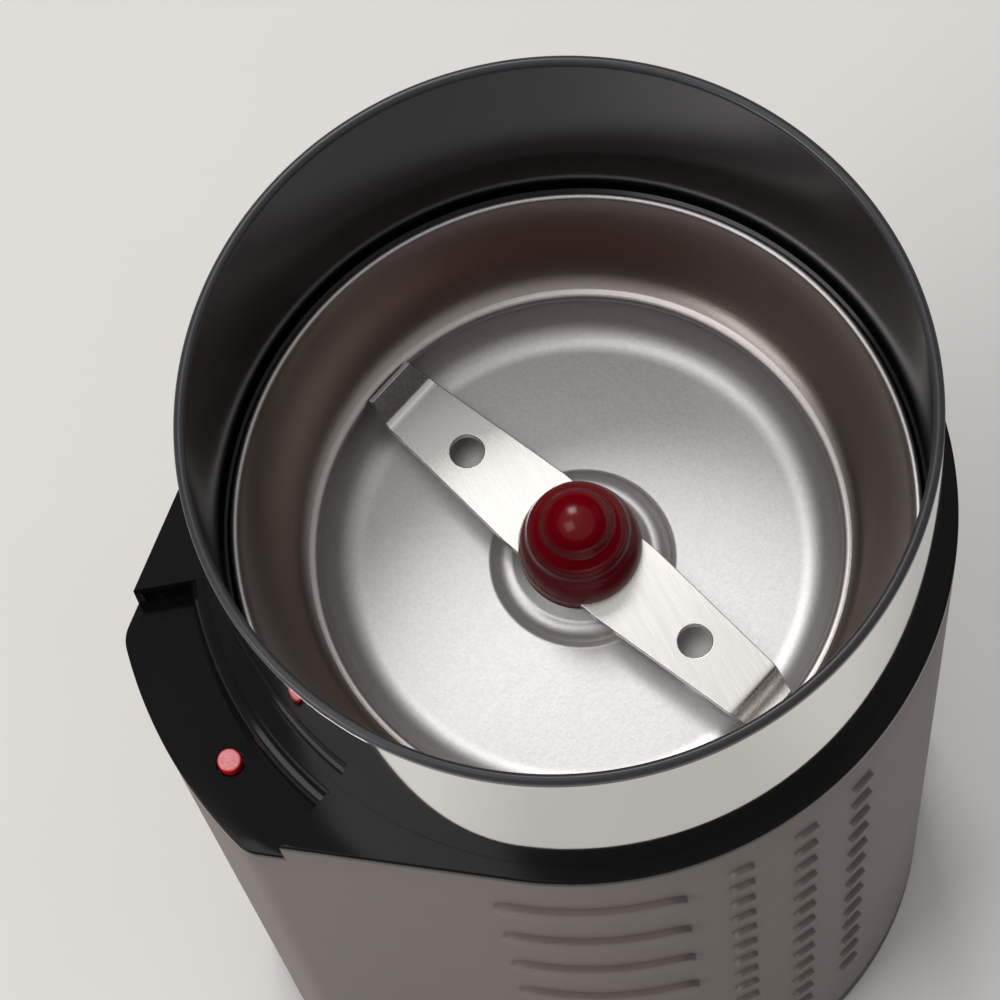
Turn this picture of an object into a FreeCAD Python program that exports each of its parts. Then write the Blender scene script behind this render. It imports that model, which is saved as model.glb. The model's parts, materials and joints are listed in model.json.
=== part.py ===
import FreeCAD, Part
import math
import os

# Electric spice grinder without its lid: millimetres, +Z up.
# The origin is on the axis of the bowl at table level and the switch nose points along -X.
# Heights are stacked upwards from the table, so a longer inner part lifts all that stands on it.

# Feet and base
foot_height = 2.0
foot_r = 5.5
foot_inset = 0.7
foot_stud_r = 2.2
base_thickness = 2.4
base_gap = 0.25
skirt_lift = 1.0
base_space = 12.05
base_post_inset = 2.1
base_post_r = 3.4
base_post_height = 14.0
base_screw_r = 1.25
base_screw_length = 11.0
base_screw_head_r = 2.9
vent_count = 7
vent_length = 16.0
vent_width = 2.0
vent_pitch = 4.0

# Motor stack
lower_bearing_length = 8.5
bearing_r = 6.5
shaft_r = 3.0
shaft_fit = 0.03
running_gap = 0.3
bracket_thickness = 3.0
bracket_width = 15.0
bracket_lip = 1.0
bracket_boss_wall = 2.5
bracket_leg_r = 3.6
bracket_corner = 3.0
bracket_end = 3.0
washer_thickness = 1.5
washer_r = 5.2
commutator_lift = 2.7
commutator_length = 11.0
commutator_r = 9.0
commutator_bars = 12
winding_gap = 2.0
winding_overhang = 8.0
stack_length = 28.0
armature_r = 15.0
armature_slots = 10
air_gap = 0.5
stator_width = 54.0
stator_depth = 48.0
stator_corner = 9.0
pole_half_width = 10.0
slot_start = 8.0
slot_wall = 3.9
slot_back = 6.5
coil_end_inset = 3.5
coil_overhang = 7.0
coil_clearance = 0.5
coil_bar_corner = 1.0
coil_bar_setback = 1.0
coil_end_corner = 2.2
coil_end_gap = 0.3
bolt_inset = 3.8
bolt_r = 2.0
bolt_head_r = 3.5
bolt_head_height = 2.4
rubber_washer_thickness = 2.0
rubber_washer_r = 4.0
fan_gap = 1.6
fan_height = 7.5
fan_r = 18.6
fan_blades = 9
brush_side = 5.0
brush_length = 10.0
brush_spring_length = 6.0
brush_spring_wire_r = 0.25
brush_spring_mean_r = 1.8
brush_spring_turns = 4
brush_box_wall = 0.8
fuse_r = 1.9
fuse_length = 10.0

# Chassis that carries the motor and the bowl
upper_bearing_length = 10.0
bearing_shoulder = 1.0
chassis_thickness = 3.5
chassis_plate_r = 27.5
chassis_root = 6.0
window_outer_r = 24.0
window_half_angle = 13.0
tower_wall = 3.5
tower_lip = 1.2
gasket_thickness = 1.4
gasket_r = 16.0
gasket_width = 3.0
chassis_leg_r = 3.6
post_inset = 3.65
post_r = 3.1
post_count = 3
chassis_screw_r = 1.25
chassis_screw_length = 11.5
chassis_screw_head_r = 2.7
screw_head_height = 1.9

# Bowl
sheet = 0.8
bowl_depth = 16.15
bead_tube_r = 0.45
shelf_height = 5.65
shelf_width = 6.5
shelf_round = 1.0
step_fillet = 2.0
boss_height = 2.15
boss_foot_r = 10.6
boss_top_r = 8.6
seal_r = 5.0
seal_fit = 0.08

# Blade and hub
blade_lift = 4.85
blade_thickness = 1.0
blade_root_width = 10.4
blade_end_width = 7.5
blade_tab_width = 6.2
blade_tip_clearance = 0.35
blade_tab_length = 3.5
blade_up_angle = 35.0
blade_down_angle = 40.0
blade_hole_r = 1.95
blade_hole_place = 17.1
blade_azimuth = 108.6
hub_gap = 0.7
hub_skirt_r = 6.8
hub_skirt_height = 4.6
hub_ring_r = 5.0
hub_ring_height = 7.4
hub_dome_r = 3.55
hub_height = 11.5

# Collar
collar_outer_r = 40.0
collar_wall = 1.2
bead_clearance = 0.7
bead_drop = 34.2
collar_height = 33.5
ledge_width = 2.0
band_height = 1.3
collar_sleeve = 15.0
sleeve_clearance = 0.25
bead_seat_step = 0.85
band_wall = 0.5
band_top_drop = 1.2

# Body housing and its nose
body_wall = 2.4
grip_skin = 0.8
grip_lift = 3.5
rib_root = 0.5
body_draft = 0.025
nose_reach = 9.6
nose_draft = 0.0146
flank_angle = 51.5
nose_corner = 4.0
recess_half_angle = 20.0
recess_depth = 4.5
recess_wall = 1.6
lip_foot = 3.4
pad_thickness = 2.4
rib_columns = 3
rib_first_azimuth = 265.4
rib_azimuth_pitch = 11.4
rib_count = 13
rib_pitch = 7.7
rib_first_drop = 9.6
rib_length = 3.0
rib_height = 1.7
rib_proud = 0.7
bar_count = 7
bar_pitch = 15.4
bar_azimuth = 241.7
bar_angle = 24.0
bar_height = 4.0
bar_proud = 0.8
outlet_r = 3.6
outlet_lift = 0.4
grommet_wall = 1.6
grommet_lip = 1.2
grommet_inner_flange = 2.4
grommet_outer_flange = 1.4
outlet_cut = 12.0

# Lid switch
pin_r = 1.35
pin_travel = 2.0
pin_offset = 3.0
pin_azimuth = 185.5
pin_proud = 1.2
pin_hole_gap = 0.3
pin_flange_r = 2.4
pin_flange_height = 1.2
pin_stem_r = 1.2
pin_stem_length = 7.8
spring_wire_r = 0.28
spring_mean_r = 1.85
spring_turns = 4
guide_thickness = 1.2
guide_wall = 1.4
switch_length = 16.0
switch_width = 6.4
switch_height = 6.0
plunger_r = 1.2
plunger_reserve = 0.6
plunger_offset = 1.3
plunger_edge = 2.1

# Small electrical parts
capacitor_length = 18.0
capacitor_width = 8.0
capacitor_height = 11.0
capacitor_inset = 12.2
capacitor_corner = 0.8
terminal_length = 17.0
terminal_width = 8.0
terminal_height = 9.0
terminal_inset = 10.7
terminal_screw_r = 1.6
terminal_wire_r = 1.5
terminal_slit = 1.6

# Heights from the table upwards
base_bottom_z = foot_height
base_top_z = base_bottom_z + base_thickness
bracket_bottom_z = base_top_z + base_space
lower_bearing_z = bracket_bottom_z + bracket_lip
lower_bearing_top_z = lower_bearing_z + lower_bearing_length
bracket_top_z = lower_bearing_top_z - 0.5
lower_washer_z = lower_bearing_top_z + running_gap
commutator_z = lower_washer_z + washer_thickness + commutator_lift
stack_z = commutator_z + commutator_length + winding_gap + winding_overhang
stack_top_z = stack_z + stack_length
fan_z = stack_top_z + winding_overhang + fan_gap
fan_top_z = fan_z + fan_height
upper_washer_z = fan_top_z
upper_bearing_z = upper_washer_z + washer_thickness + running_gap
chassis_z = upper_bearing_z + bearing_shoulder
chassis_top_z = chassis_z + chassis_thickness
upper_bearing_top_z = upper_bearing_z + upper_bearing_length
tower_top_z = upper_bearing_top_z + tower_lip
floor_z = tower_top_z + gasket_thickness + sheet
blade_z = floor_z + blade_lift
bead_top_z = floor_z + bowl_depth
rim_z = bead_top_z + bead_drop
ledge_z = rim_z - collar_height
seam_z = ledge_z - band_height
pad_z = ledge_z - recess_depth
notch_z = pad_z - band_height
pad_bottom_z = pad_z - pad_thickness
bead_seat_z = bead_top_z - 2 * bead_tube_r
sleeve_bottom_z = seam_z - collar_sleeve
shell_bottom_z = skirt_lift
grip_bottom_z = shell_bottom_z + grip_lift
brush_z = commutator_z + commutator_length / 2
outlet_z = base_top_z + outlet_lift + outlet_r + grommet_wall + grommet_lip

# Radii that follow from the driving sizes
collar_bore_r = collar_outer_r - collar_wall
bead_seat_r = collar_bore_r - bead_seat_step
post_circle_r = bead_seat_r - post_inset
bead_outer_r = collar_bore_r - bead_clearance
bowl_rim_r = bead_outer_r - 2 * bead_tube_r
shelf_inner_r = bowl_rim_r - shelf_width
step_r = shelf_inner_r - shelf_round
blade_bend_r = step_r - blade_tip_clearance - blade_tab_length
body_r = collar_outer_r + ledge_width
nose_r = body_r + nose_reach
plunger_proud = pin_travel + plunger_reserve
plate_r = body_r - body_draft * (seam_z - base_bottom_z) - body_wall - base_gap
foot_circle_r = plate_r - foot_r - foot_inset
capacitor_place = plate_r - capacitor_inset
terminal_place = plate_r - terminal_inset
base_post_circle_r = plate_r - base_post_r - base_post_inset
stator_bore_r = armature_r + air_gap
bolt_offset = stator_width / 2 - bolt_inset
slot_outer_x = bolt_offset - slot_wall
slot_outer_y = stator_depth / 2 - slot_back
coil_end_y = stator_depth / 2 - coil_end_inset
lip_foot_r = collar_outer_r + lip_foot
pin_place_r = lip_foot_r + pin_offset
band_inner_r = collar_outer_r - band_wall
leg_length = chassis_z - stack_top_z - rubber_washer_thickness

ORIGIN = FreeCAD.Vector(0, 0, 0)
UP = FreeCAD.Vector(0, 0, 1)


class Outline:
    """An outline in the plane of radius and height, drawn with lines and arcs and turned about Z."""

    def __init__(self, r, z):
        self.first = FreeCAD.Vector(r, 0, z)
        self.here = self.first
        self.edges = []

    def line(self, r, z):
        point = FreeCAD.Vector(r, 0, z)
        self.edges.append(Part.makeLine(self.here, point))
        self.here = point
        return self

    def arc(self, middle, end):
        through = FreeCAD.Vector(middle[0], 0, middle[1])
        point = FreeCAD.Vector(end[0], 0, end[1])
        self.edges.append(Part.Arc(self.here, through, point).toShape())
        self.here = point
        return self

    def turned(self, angle=360.0, start=0.0):
        if (self.here - self.first).Length > 1e-6:
            self.line(self.first.x, self.first.z)
        face = Part.Face(Part.Wire(self.edges))
        solid = face.revolve(ORIGIN, UP, angle)
        solid.rotate(ORIGIN, UP, start)
        return solid


def vec(x, y, z):
    return FreeCAD.Vector(x, y, z)


def polar(r, azimuth, z=0.0):
    angle = math.radians(azimuth)
    return FreeCAD.Vector(r * math.cos(angle), r * math.sin(angle), z)


def cylinder(r, z0, z1, x=0.0, y=0.0):
    return Part.makeCylinder(r, z1 - z0, FreeCAD.Vector(x, y, z0))


def tube(r_out, r_in, z0, z1, x=0.0, y=0.0):
    return cylinder(r_out, z0, z1, x, y).cut(cylinder(r_in, z0 - 1, z1 + 1, x, y))


def box(x0, x1, y0, y1, z0, z1):
    return Part.makeBox(x1 - x0, y1 - y0, z1 - z0, FreeCAD.Vector(x0, y0, z0))


def turned_copy(shape, azimuth):
    copy = shape.copy()
    copy.rotate(ORIGIN, UP, azimuth)
    return copy


def ring_of(shape, count, start=0.0):
    return [turned_copy(shape, start + 360.0 * k / count) for k in range(count)]


def upright_edges(shape):
    chosen = []
    for edge in shape.Edges:
        ends = [vertex.Point for vertex in edge.Vertexes]
        if len(ends) == 2 and abs(ends[0].x - ends[1].x) < 1e-6 and abs(ends[0].y - ends[1].y) < 1e-6:
            chosen.append(edge)
    return chosen


def rounded_box(x0, x1, y0, y1, z0, z1, corner):
    block = box(x0, x1, y0, y1, z0, z1)
    return block.makeFillet(corner, upright_edges(block))


def save(name, shape):
    if isinstance(shape, list):
        shape = Part.makeCompound(shape)
    shape.exportStep(os.path.join("parts", name + ".step"))


# Plan outline of the housing: a circle with two tangent flanks that run out to the nose


def housing_wire(z, inset, level):
    """Outline at height z, with the radii that the housing has at the height level."""
    fall = seam_z - level
    circle = body_r - body_draft * fall - inset
    nose = nose_r - nose_draft * fall - inset
    corner = max(nose_corner - inset, 0.3)
    spread = math.degrees(math.acos((circle - corner) / (nose - corner)))
    centre_angle = flank_angle - spread
    points = {}
    for side in (1, -1):
        normal = polar(1.0, 180 - side * flank_angle)
        centre = polar(nose - corner, 180 - side * centre_angle, z)
        points[side, "circle"] = normal * circle + vec(0, 0, z)
        points[side, "flank"] = centre + normal * corner
        middle = polar(1.0, 180 - side * (flank_angle + centre_angle) / 2)
        points[side, "corner"] = centre + middle * corner
        points[side, "nose"] = polar(nose, 180 - side * centre_angle, z)
    edges = [
        Part.Arc(points[-1, "circle"], vec(circle, 0, z), points[1, "circle"]).toShape(),
        Part.makeLine(points[1, "circle"], points[1, "flank"]),
        Part.Arc(points[1, "flank"], points[1, "corner"], points[1, "nose"]).toShape(),
        Part.Arc(points[1, "nose"], vec(-nose, 0, z), points[-1, "nose"]).toShape(),
        Part.Arc(points[-1, "nose"], points[-1, "corner"], points[-1, "flank"]).toShape(),
        Part.makeLine(points[-1, "flank"], points[-1, "circle"]),
    ]
    return Part.Wire(edges)


def housing_block(z0, z1, inset=0.0):
    """Solid with the drafted plan outline of the housing between two heights."""
    wires = [housing_wire(z0, inset, z0), housing_wire(z1, inset, z1)]
    return Part.makeLoft(wires, True, True)


def housing_plate(z0, z1, inset=0.0, level=None):
    """Upright plate with the outline that the housing has at one level."""
    level = z1 if level is None else level
    return Part.Face(housing_wire(z0, inset, level)).extrude(vec(0, 0, z1 - z0))


def sector(r0, r1, z0, z1, half_angle):
    """Block between two radii and two heights, centred on the nose."""
    outline = Outline(r0, z0).line(r1, z0).line(r1, z1).line(r0, z1)
    return outline.turned(2 * half_angle, 180 - half_angle)


# Body housing


def rib(azimuth, z):
    """Short raised bar with round ends that lies level on the housing."""
    surface = body_r - body_draft * (seam_z - z)
    half = (rib_length - rib_height) / 2
    radius = rib_height / 2
    depth = rib_proud + rib_root
    bar = box(surface - rib_root, surface + rib_proud, -half, half, z - radius, z + radius)
    ends = []
    for side in (-half, half):
        ends.append(Part.makeCylinder(radius, depth, vec(surface - rib_root, side, z), vec(1, 0, 0)))
    return turned_copy(bar.multiFuse(ends).removeSplitter(), azimuth)


def grip_ribs():
    ribs = []
    for column in range(rib_columns):
        azimuth = rib_first_azimuth + column * rib_azimuth_pitch
        for row in range(rib_count):
            z = seam_z - rib_first_drop - row * rib_pitch
            ribs.append(rib(azimuth, z))
            ribs.append(rib(360 - azimuth, z))
    return ribs


def relief_bars():
    """Plain wide bars on the side panel, each following the round of the housing."""
    bars = []
    for row in range(bar_count):
        z = seam_z - rib_first_drop - rib_pitch / 2 - row * bar_pitch
        surface = body_r - body_draft * (seam_z - z)
        half = bar_height / 2
        outline = Outline(surface - rib_root, z - half)
        outline.line(surface + bar_proud, z - half).line(surface + bar_proud, z + half)
        outline.line(surface - rib_root, z + half)
        bar = outline.turned(bar_angle, bar_azimuth - bar_angle / 2)
        ends = []
        for side in (-1, 1):
            end = Part.makeCylinder(half, rib_root + bar_proud, vec(surface - rib_root, 0, z), vec(1, 0, 0))
            ends.append(turned_copy(end, bar_azimuth + side * bar_angle / 2))
        bars.append(bar.multiFuse(ends))
    return bars


def base_post_places():
    return [polar(base_post_circle_r, azimuth) for azimuth in (60, 180, 300)]


def base_post(place):
    """Screw post on the inside of the wall, joined to it by a web."""
    top = base_top_z + base_post_height
    post = cylinder(base_post_r, base_top_z, top, place.x, place.y)
    azimuth = math.degrees(math.atan2(place.y, place.x))
    reach = nose_r if abs(azimuth) > 170 else body_r
    web = box(base_post_circle_r, reach, -0.9, 0.9, base_top_z, top - 2)
    return post.fuse(turned_copy(web, azimuth))


def housing_skin():
    """Outer layer of the wall, from the foot of the grip sleeve up to the seam."""
    outer = housing_block(shell_bottom_z, seam_z)
    layer = outer.cut(housing_block(shell_bottom_z, seam_z, grip_skin))
    return layer.common(box(-2 * nose_r, 2 * nose_r, -nose_r, nose_r, grip_bottom_z, seam_z))


def recess_notch():
    return sector(body_r - 8, nose_r + 3, notch_z, seam_z + 2, recess_half_angle)


def body_shell():
    """Rigid inner wall that carries the sleeve, the screw posts and the cord bush."""
    outer = housing_block(shell_bottom_z, seam_z)
    inner = housing_block(shell_bottom_z - 1, seam_z + 1, body_wall)
    shell = outer.cut(housing_skin()).cut(inner).cut(recess_notch())
    posts = []
    for place in base_post_places():
        pilot = cylinder(base_screw_r, base_top_z - 1, base_top_z + base_screw_length, place.x, place.y)
        posts.append(base_post(place).common(outer).cut(housing_skin()).cut(pilot))
    return shell.multiFuse(posts).cut(outlet_hole(outlet_r + grommet_wall))


def grip_sleeve():
    """Soft sleeve moulded over the shell, with the grip ribs and the relief bars."""
    skin = housing_skin().cut(recess_notch())
    return skin.multiFuse(grip_ribs() + relief_bars()).cut(outlet_hole(outlet_r + grommet_wall))


def outlet_hole(r):
    return Part.makeCylinder(r, outlet_cut, vec(body_r - 0.7 * outlet_cut, 0, outlet_z), vec(1, 0, 0))


def cord_grommet():
    """Bush that lines the cord outlet at the back of the housing, with a lip on either face."""
    outside = body_r - body_draft * (seam_z - outlet_z)
    x0 = outside - body_wall - grommet_inner_flange
    x1 = outside + grommet_outer_flange
    body = Part.makeCylinder(outlet_r + grommet_wall + grommet_lip, x1 - x0, vec(x0, 0, outlet_z), vec(1, 0, 0))
    wall = housing_block(shell_bottom_z, seam_z).cut(housing_block(shell_bottom_z, seam_z, body_wall))
    groove = wall.cut(outlet_hole(outlet_r + grommet_wall))
    return body.cut(groove).cut(outlet_hole(outlet_r))


# Base


def foot_places():
    return [polar(foot_circle_r, azimuth) for azimuth in (30, 150, 210, 330)]


def base_plate():
    plate = housing_plate(base_bottom_z, base_top_z, body_wall + base_gap, base_bottom_z)
    cuts = []
    sink = base_screw_head_r - base_screw_r
    for place in base_post_places():
        cuts.append(cylinder(base_screw_r + 0.3, 0, base_top_z + 1, place.x, place.y))
        cuts.append(Part.makeCone(base_screw_head_r + 0.2, base_screw_r + 0.2, sink,
                                  vec(place.x, place.y, base_bottom_z)))
    for place in foot_places():
        cuts.append(cylinder(foot_stud_r, 0, base_top_z + 1, place.x, place.y))
    for k in range(vent_count):
        x = (k - (vent_count - 1) / 2) * vent_pitch
        cuts.append(rounded_box(x - vent_width / 2, x + vent_width / 2, -vent_length / 2, vent_length / 2,
                                0, base_top_z + 1, vent_width / 2 - 0.05))
    return plate.cut(Part.makeCompound(cuts))


def base_screws():
    screws = []
    sink = base_screw_head_r - base_screw_r
    for place in base_post_places():
        outline = Outline(0, base_bottom_z + 0.1).line(base_screw_head_r, base_bottom_z + 0.1)
        outline.line(base_screw_r, base_bottom_z + 0.1 + sink)
        outline.line(base_screw_r, base_top_z + base_screw_length - 1.5)
        outline.line(0, base_top_z + base_screw_length - 0.3)
        screw = outline.turned()
        screw.translate(place)
        screws.append(screw)
    return screws


def rubber_feet():
    feet = []
    for place in foot_places():
        outline = Outline(0, 0).line(foot_r - 0.6, 0).line(foot_r, 0.6).line(foot_r, base_bottom_z)
        outline.line(foot_stud_r, base_bottom_z).line(foot_stud_r, base_top_z)
        outline.line(foot_stud_r + 0.5, base_top_z).line(foot_stud_r - 0.6, base_top_z + 1.4)
        outline.line(0, base_top_z + 1.4)
        foot = outline.turned()
        foot.translate(place)
        feet.append(foot)
    return feet


def capacitor():
    half = capacitor_length / 2
    y = -capacitor_place
    block = box(-half, half, y - capacitor_width / 2, y + capacitor_width / 2,
                base_top_z, base_top_z + capacitor_height)
    return block.makeFillet(capacitor_corner, upright_edges(block))


def terminal_block():
    half = terminal_length / 2
    x = terminal_place
    low = base_top_z
    high = base_top_z + terminal_height
    block = box(x - terminal_width / 2, x + terminal_width / 2, -half, half, low, high)
    cuts = []
    for y in (-half / 2, half / 2):
        cuts.append(cylinder(terminal_screw_r, high - 3, high + 1, x, y))
        cuts.append(Part.makeCylinder(terminal_wire_r, terminal_width + 2, vec(x - terminal_width / 2 - 1, y, low + 3),
                                      vec(1, 0, 0)))
    cuts.append(box(x - terminal_width, x + terminal_width, -terminal_slit / 2, terminal_slit / 2,
                    high - 2.5, high + 1))
    return block.cut(Part.makeCompound(cuts))


# Motor, standing parts


def stator_core():
    half_x = stator_width / 2
    half_y = stator_depth / 2
    core = rounded_box(-half_x, half_x, -half_y, half_y, stack_z, stack_top_z, stator_corner)
    cuts = [cylinder(stator_bore_r, stack_z - 1, stack_top_z + 1)]
    for side_x in (-1, 1):
        for side_y in (-1, 1):
            xs = sorted((side_x * pole_half_width, side_x * slot_outer_x))
            ys = sorted((side_y * slot_start, side_y * slot_outer_y))
            cuts.append(rounded_box(xs[0], xs[1], ys[0], ys[1], stack_z - 1, stack_top_z + 1, 1.5))
        cuts.append(cylinder(bolt_r + 0.2, stack_z - 1, stack_top_z + 1, side_x * bolt_offset, 0))
    return core.cut(Part.makeCompound(cuts))


def field_coil(side):
    """Coil round one pole: two bars in the slots, joined over the ends of the stack."""
    low = stack_z - coil_overhang
    high = stack_top_z + coil_overhang
    x_in = pole_half_width + coil_clearance
    x_out = slot_outer_x - coil_clearance
    y_in = math.sqrt((stator_bore_r + 0.6) ** 2 - x_in ** 2)
    y_out = slot_outer_y - coil_clearance
    end_in = stator_bore_r + 0.4
    end_out = coil_end_y
    end_corner = min(coil_end_corner, 0.48 * (end_out - end_in))
    pieces = []
    for flip in (-1, 1):
        xs = sorted((flip * x_in, flip * x_out))
        ys = sorted((side * y_in, side * y_out))
        pieces.append(rounded_box(xs[0], xs[1], ys[0], ys[1],
                                  low + coil_bar_setback, high - coil_bar_setback, coil_bar_corner))
    for z0, z1 in ((low, stack_z - coil_end_gap), (stack_top_z + coil_end_gap, high)):
        ys = sorted((side * end_in, side * end_out))
        block = box(-x_out, x_out, ys[0], ys[1], z0, z1)
        pieces.append(block.makeFillet(end_corner, upright_edges(block)))
    return pieces[0].multiFuse(pieces[1:])


def field_coils():
    return [field_coil(1), field_coil(-1)]


def thermal_fuse():
    y = coil_end_y + fuse_r
    z = stack_top_z + fuse_r + 0.3
    return Part.makeCylinder(fuse_r, fuse_length, vec(-fuse_length / 2, y, z), vec(1, 0, 0))


def lower_bracket():
    """Cross-shaped end bracket with the bearing boss, two legs to the stack and two brush posts."""
    plate_z = bracket_top_z - bracket_thickness
    half = bracket_width / 2
    boss_r = bearing_r + bracket_boss_wall
    reach_y = commutator_r + brush_length + brush_spring_length + bracket_end
    post_top = brush_z - brush_side / 2 - brush_box_wall
    pieces = [
        cylinder(boss_r, bracket_bottom_z, bracket_top_z),
        rounded_box(-bolt_offset - bracket_leg_r, bolt_offset + bracket_leg_r, -half, half,
                    plate_z, bracket_top_z, bracket_corner),
        rounded_box(-half + 1, half - 1, -reach_y, reach_y, plate_z, bracket_top_z, bracket_corner),
    ]
    for side in (-1, 1):
        pieces.append(cylinder(bracket_leg_r, plate_z, stack_z, side * bolt_offset, 0))
        ys = sorted((side * (reach_y - 11), side * (reach_y - 2)))
        pieces.append(box(-4, 4, ys[0], ys[1], plate_z, post_top))
    bracket = pieces[0].multiFuse(pieces[1:])
    cuts = [
        cylinder(bearing_r, lower_bearing_z, bracket_top_z + 1),
        cylinder(shaft_r + 0.5, bracket_bottom_z - 1, bracket_top_z),
    ]
    for side in (-1, 1):
        cuts.append(cylinder(bolt_r + 0.2, plate_z - 1, stack_z + 1, side * bolt_offset, 0))
    return bracket.cut(Part.makeCompound(cuts))


def bearing(z0, z1):
    """Sintered bush, chamfered at both ends."""
    bore = shaft_r + shaft_fit
    outline = Outline(bore, z0).line(bearing_r - 0.6, z0).line(bearing_r, z0 + 0.6)
    outline.line(bearing_r, z1 - 0.6).line(bearing_r - 0.6, z1).line(bore, z1)
    return outline.turned()


def brush_box(side):
    """Sheet box round the brush, closed behind the spring."""
    start = commutator_r + 1.4
    end = commutator_r + running_gap + brush_length + brush_spring_length + brush_box_wall
    inner = brush_side / 2 + 0.05
    outer = inner + brush_box_wall
    low = brush_z - brush_side / 2 - brush_box_wall
    ys = sorted((side * start, side * end))
    block = box(-outer, outer, ys[0], ys[1], low, low + 2 * brush_box_wall + brush_side + 0.05)
    ys = sorted((side * (start - 1), side * (end - brush_box_wall)))
    hollow = box(-inner, inner, ys[0], ys[1], low + brush_box_wall, low + brush_box_wall + brush_side + 0.05)
    return block.cut(hollow)


def brush_holders():
    return [brush_box(1), brush_box(-1)]


def carbon_brush(side):
    start = commutator_r + running_gap
    ys = sorted((side * start, side * (start + brush_length)))
    half = brush_side / 2
    return box(-half, half, ys[0], ys[1], brush_z - half, brush_z + half)


def carbon_brushes():
    return [carbon_brush(1), carbon_brush(-1)]


def coil_spring(wire_r, mean_r, length, turns):
    """Open coil along Z from the origin: one round wire along quarter-turn arcs that climb steadily."""
    rise = (length - 2 * wire_r) / turns

    def point(turn):
        return polar(mean_r, 360 * turn, wire_r + rise * turn)

    arcs = []
    for quarter in range(4 * turns):
        turn = quarter / 4
        arcs.append(Part.Arc(point(turn), point(turn + 0.125), point(turn + 0.25)).toShape())
    start = arcs[0].tangentAt(arcs[0].FirstParameter)
    section = Part.Wire(Part.makeCircle(wire_r, point(0), start))
    return Part.Wire(arcs).makePipeShell([section], True, False)


def brush_springs():
    springs = []
    start = commutator_r + running_gap + brush_length
    for side in (-1, 1):
        spring = coil_spring(brush_spring_wire_r, brush_spring_mean_r, brush_spring_length, brush_spring_turns)
        spring.rotate(ORIGIN, vec(1, 0, 0), -90 * side)
        spring.translate(vec(0, side * start, brush_z))
        springs.append(spring)
    return springs


def motor_bolts():
    bolts = []
    head_top = bracket_top_z - bracket_thickness
    for side in (-1, 1):
        head = cylinder(bolt_head_r, head_top - bolt_head_height, head_top, side * bolt_offset, 0)
        slot = box(side * bolt_offset - 5, side * bolt_offset + 5, -0.5, 0.5,
                   head_top - bolt_head_height - 1, head_top - bolt_head_height + 1)
        shank = cylinder(bolt_r, head_top, chassis_z - 4, side * bolt_offset, 0)
        bolts.append(head.cut(slot).fuse(shank))
    return bolts


def rubber_washers():
    washers = []
    for side in (-1, 1):
        washers.append(tube(rubber_washer_r, bolt_r + 0.2, stack_top_z,
                            stack_top_z + rubber_washer_thickness, side * bolt_offset, 0))
    return washers


# Motor, turning parts


def motor_shaft():
    low = bracket_bottom_z - 1.0
    high = blade_z + 2.6
    outline = Outline(0, low).line(shaft_r - 0.5, low).line(shaft_r, low + 0.5)
    outline.line(shaft_r, high - 0.5).line(shaft_r - 0.5, high).line(0, high)
    return outline.turned()


def on_shaft(shape, z0, z1):
    return shape.cut(cylinder(shaft_r, z0 - 1, z1 + 1))


def armature_core():
    core = cylinder(armature_r, stack_z, stack_top_z)
    slot = box(7.5, armature_r + 1, -1.1, 1.1, stack_z - 1, stack_top_z + 1)
    core = core.cut(Part.makeCompound(ring_of(slot, armature_slots)))
    return on_shaft(core, stack_z, stack_top_z)


def armature_windings():
    """Wire packed in the slots, with a rounded bundle over either end of the core."""
    outer = armature_r - 1.6
    bundles = []
    for start, way in ((stack_z, -1), (stack_top_z, 1)):
        far = start + way * winding_overhang
        outline = Outline(4.2, start).line(outer, start).line(outer, start + way * winding_overhang * 0.4)
        outline.arc((outer - 1.4, start + way * winding_overhang * 0.8), (outer - 4.5, far))
        outline.line(5.5, far).line(4.2, start + way * winding_overhang * 0.7)
        bundles.append(outline.turned())
    bar = box(8.0, outer, -1.1, 1.1, stack_z - 0.5, stack_top_z + 0.5)
    winding = bundles[0].multiFuse([bundles[1]] + ring_of(bar, armature_slots))
    return winding


def commutator():
    """Ring of copper bars with a riser at the winding side."""
    top = commutator_z + commutator_length
    outline = Outline(shaft_r, commutator_z).line(commutator_r - 0.4, commutator_z)
    outline.line(commutator_r, commutator_z + 0.4).line(commutator_r, top - 1.6)
    outline.line(commutator_r + 1.2, top - 1.6).line(commutator_r + 1.2, top).line(shaft_r, top)
    slit = box(commutator_r - 0.8, commutator_r + 2, -0.25, 0.25, commutator_z - 1, top + 1)
    return outline.turned().cut(Part.makeCompound(ring_of(slit, commutator_bars)))


def cooling_fan():
    disc_top = fan_z + 1.4
    outline = Outline(shaft_r, fan_z).line(fan_r, fan_z).line(fan_r, disc_top).line(6.2, disc_top)
    outline.line(5.4, fan_top_z).line(shaft_r, fan_top_z)
    blade = box(5.0, fan_r - 0.4, -0.6, 0.6, disc_top - 0.2, fan_top_z - 0.8)
    blade.rotate(vec(11, 0, 0), UP, 16)
    outer = cylinder(fan_r - 0.3, fan_z, fan_top_z)
    blades = [piece.common(outer) for piece in ring_of(blade, fan_blades)]
    fan = outline.turned().multiFuse(blades)
    return on_shaft(fan, fan_z, fan_top_z)


def thrust_washer(z0):
    return tube(washer_r, shaft_r, z0, z0 + washer_thickness)


# Chassis, bowl and seals


def post_places():
    return [polar(post_circle_r, 360.0 * k / post_count) for k in range(post_count)]


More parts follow.
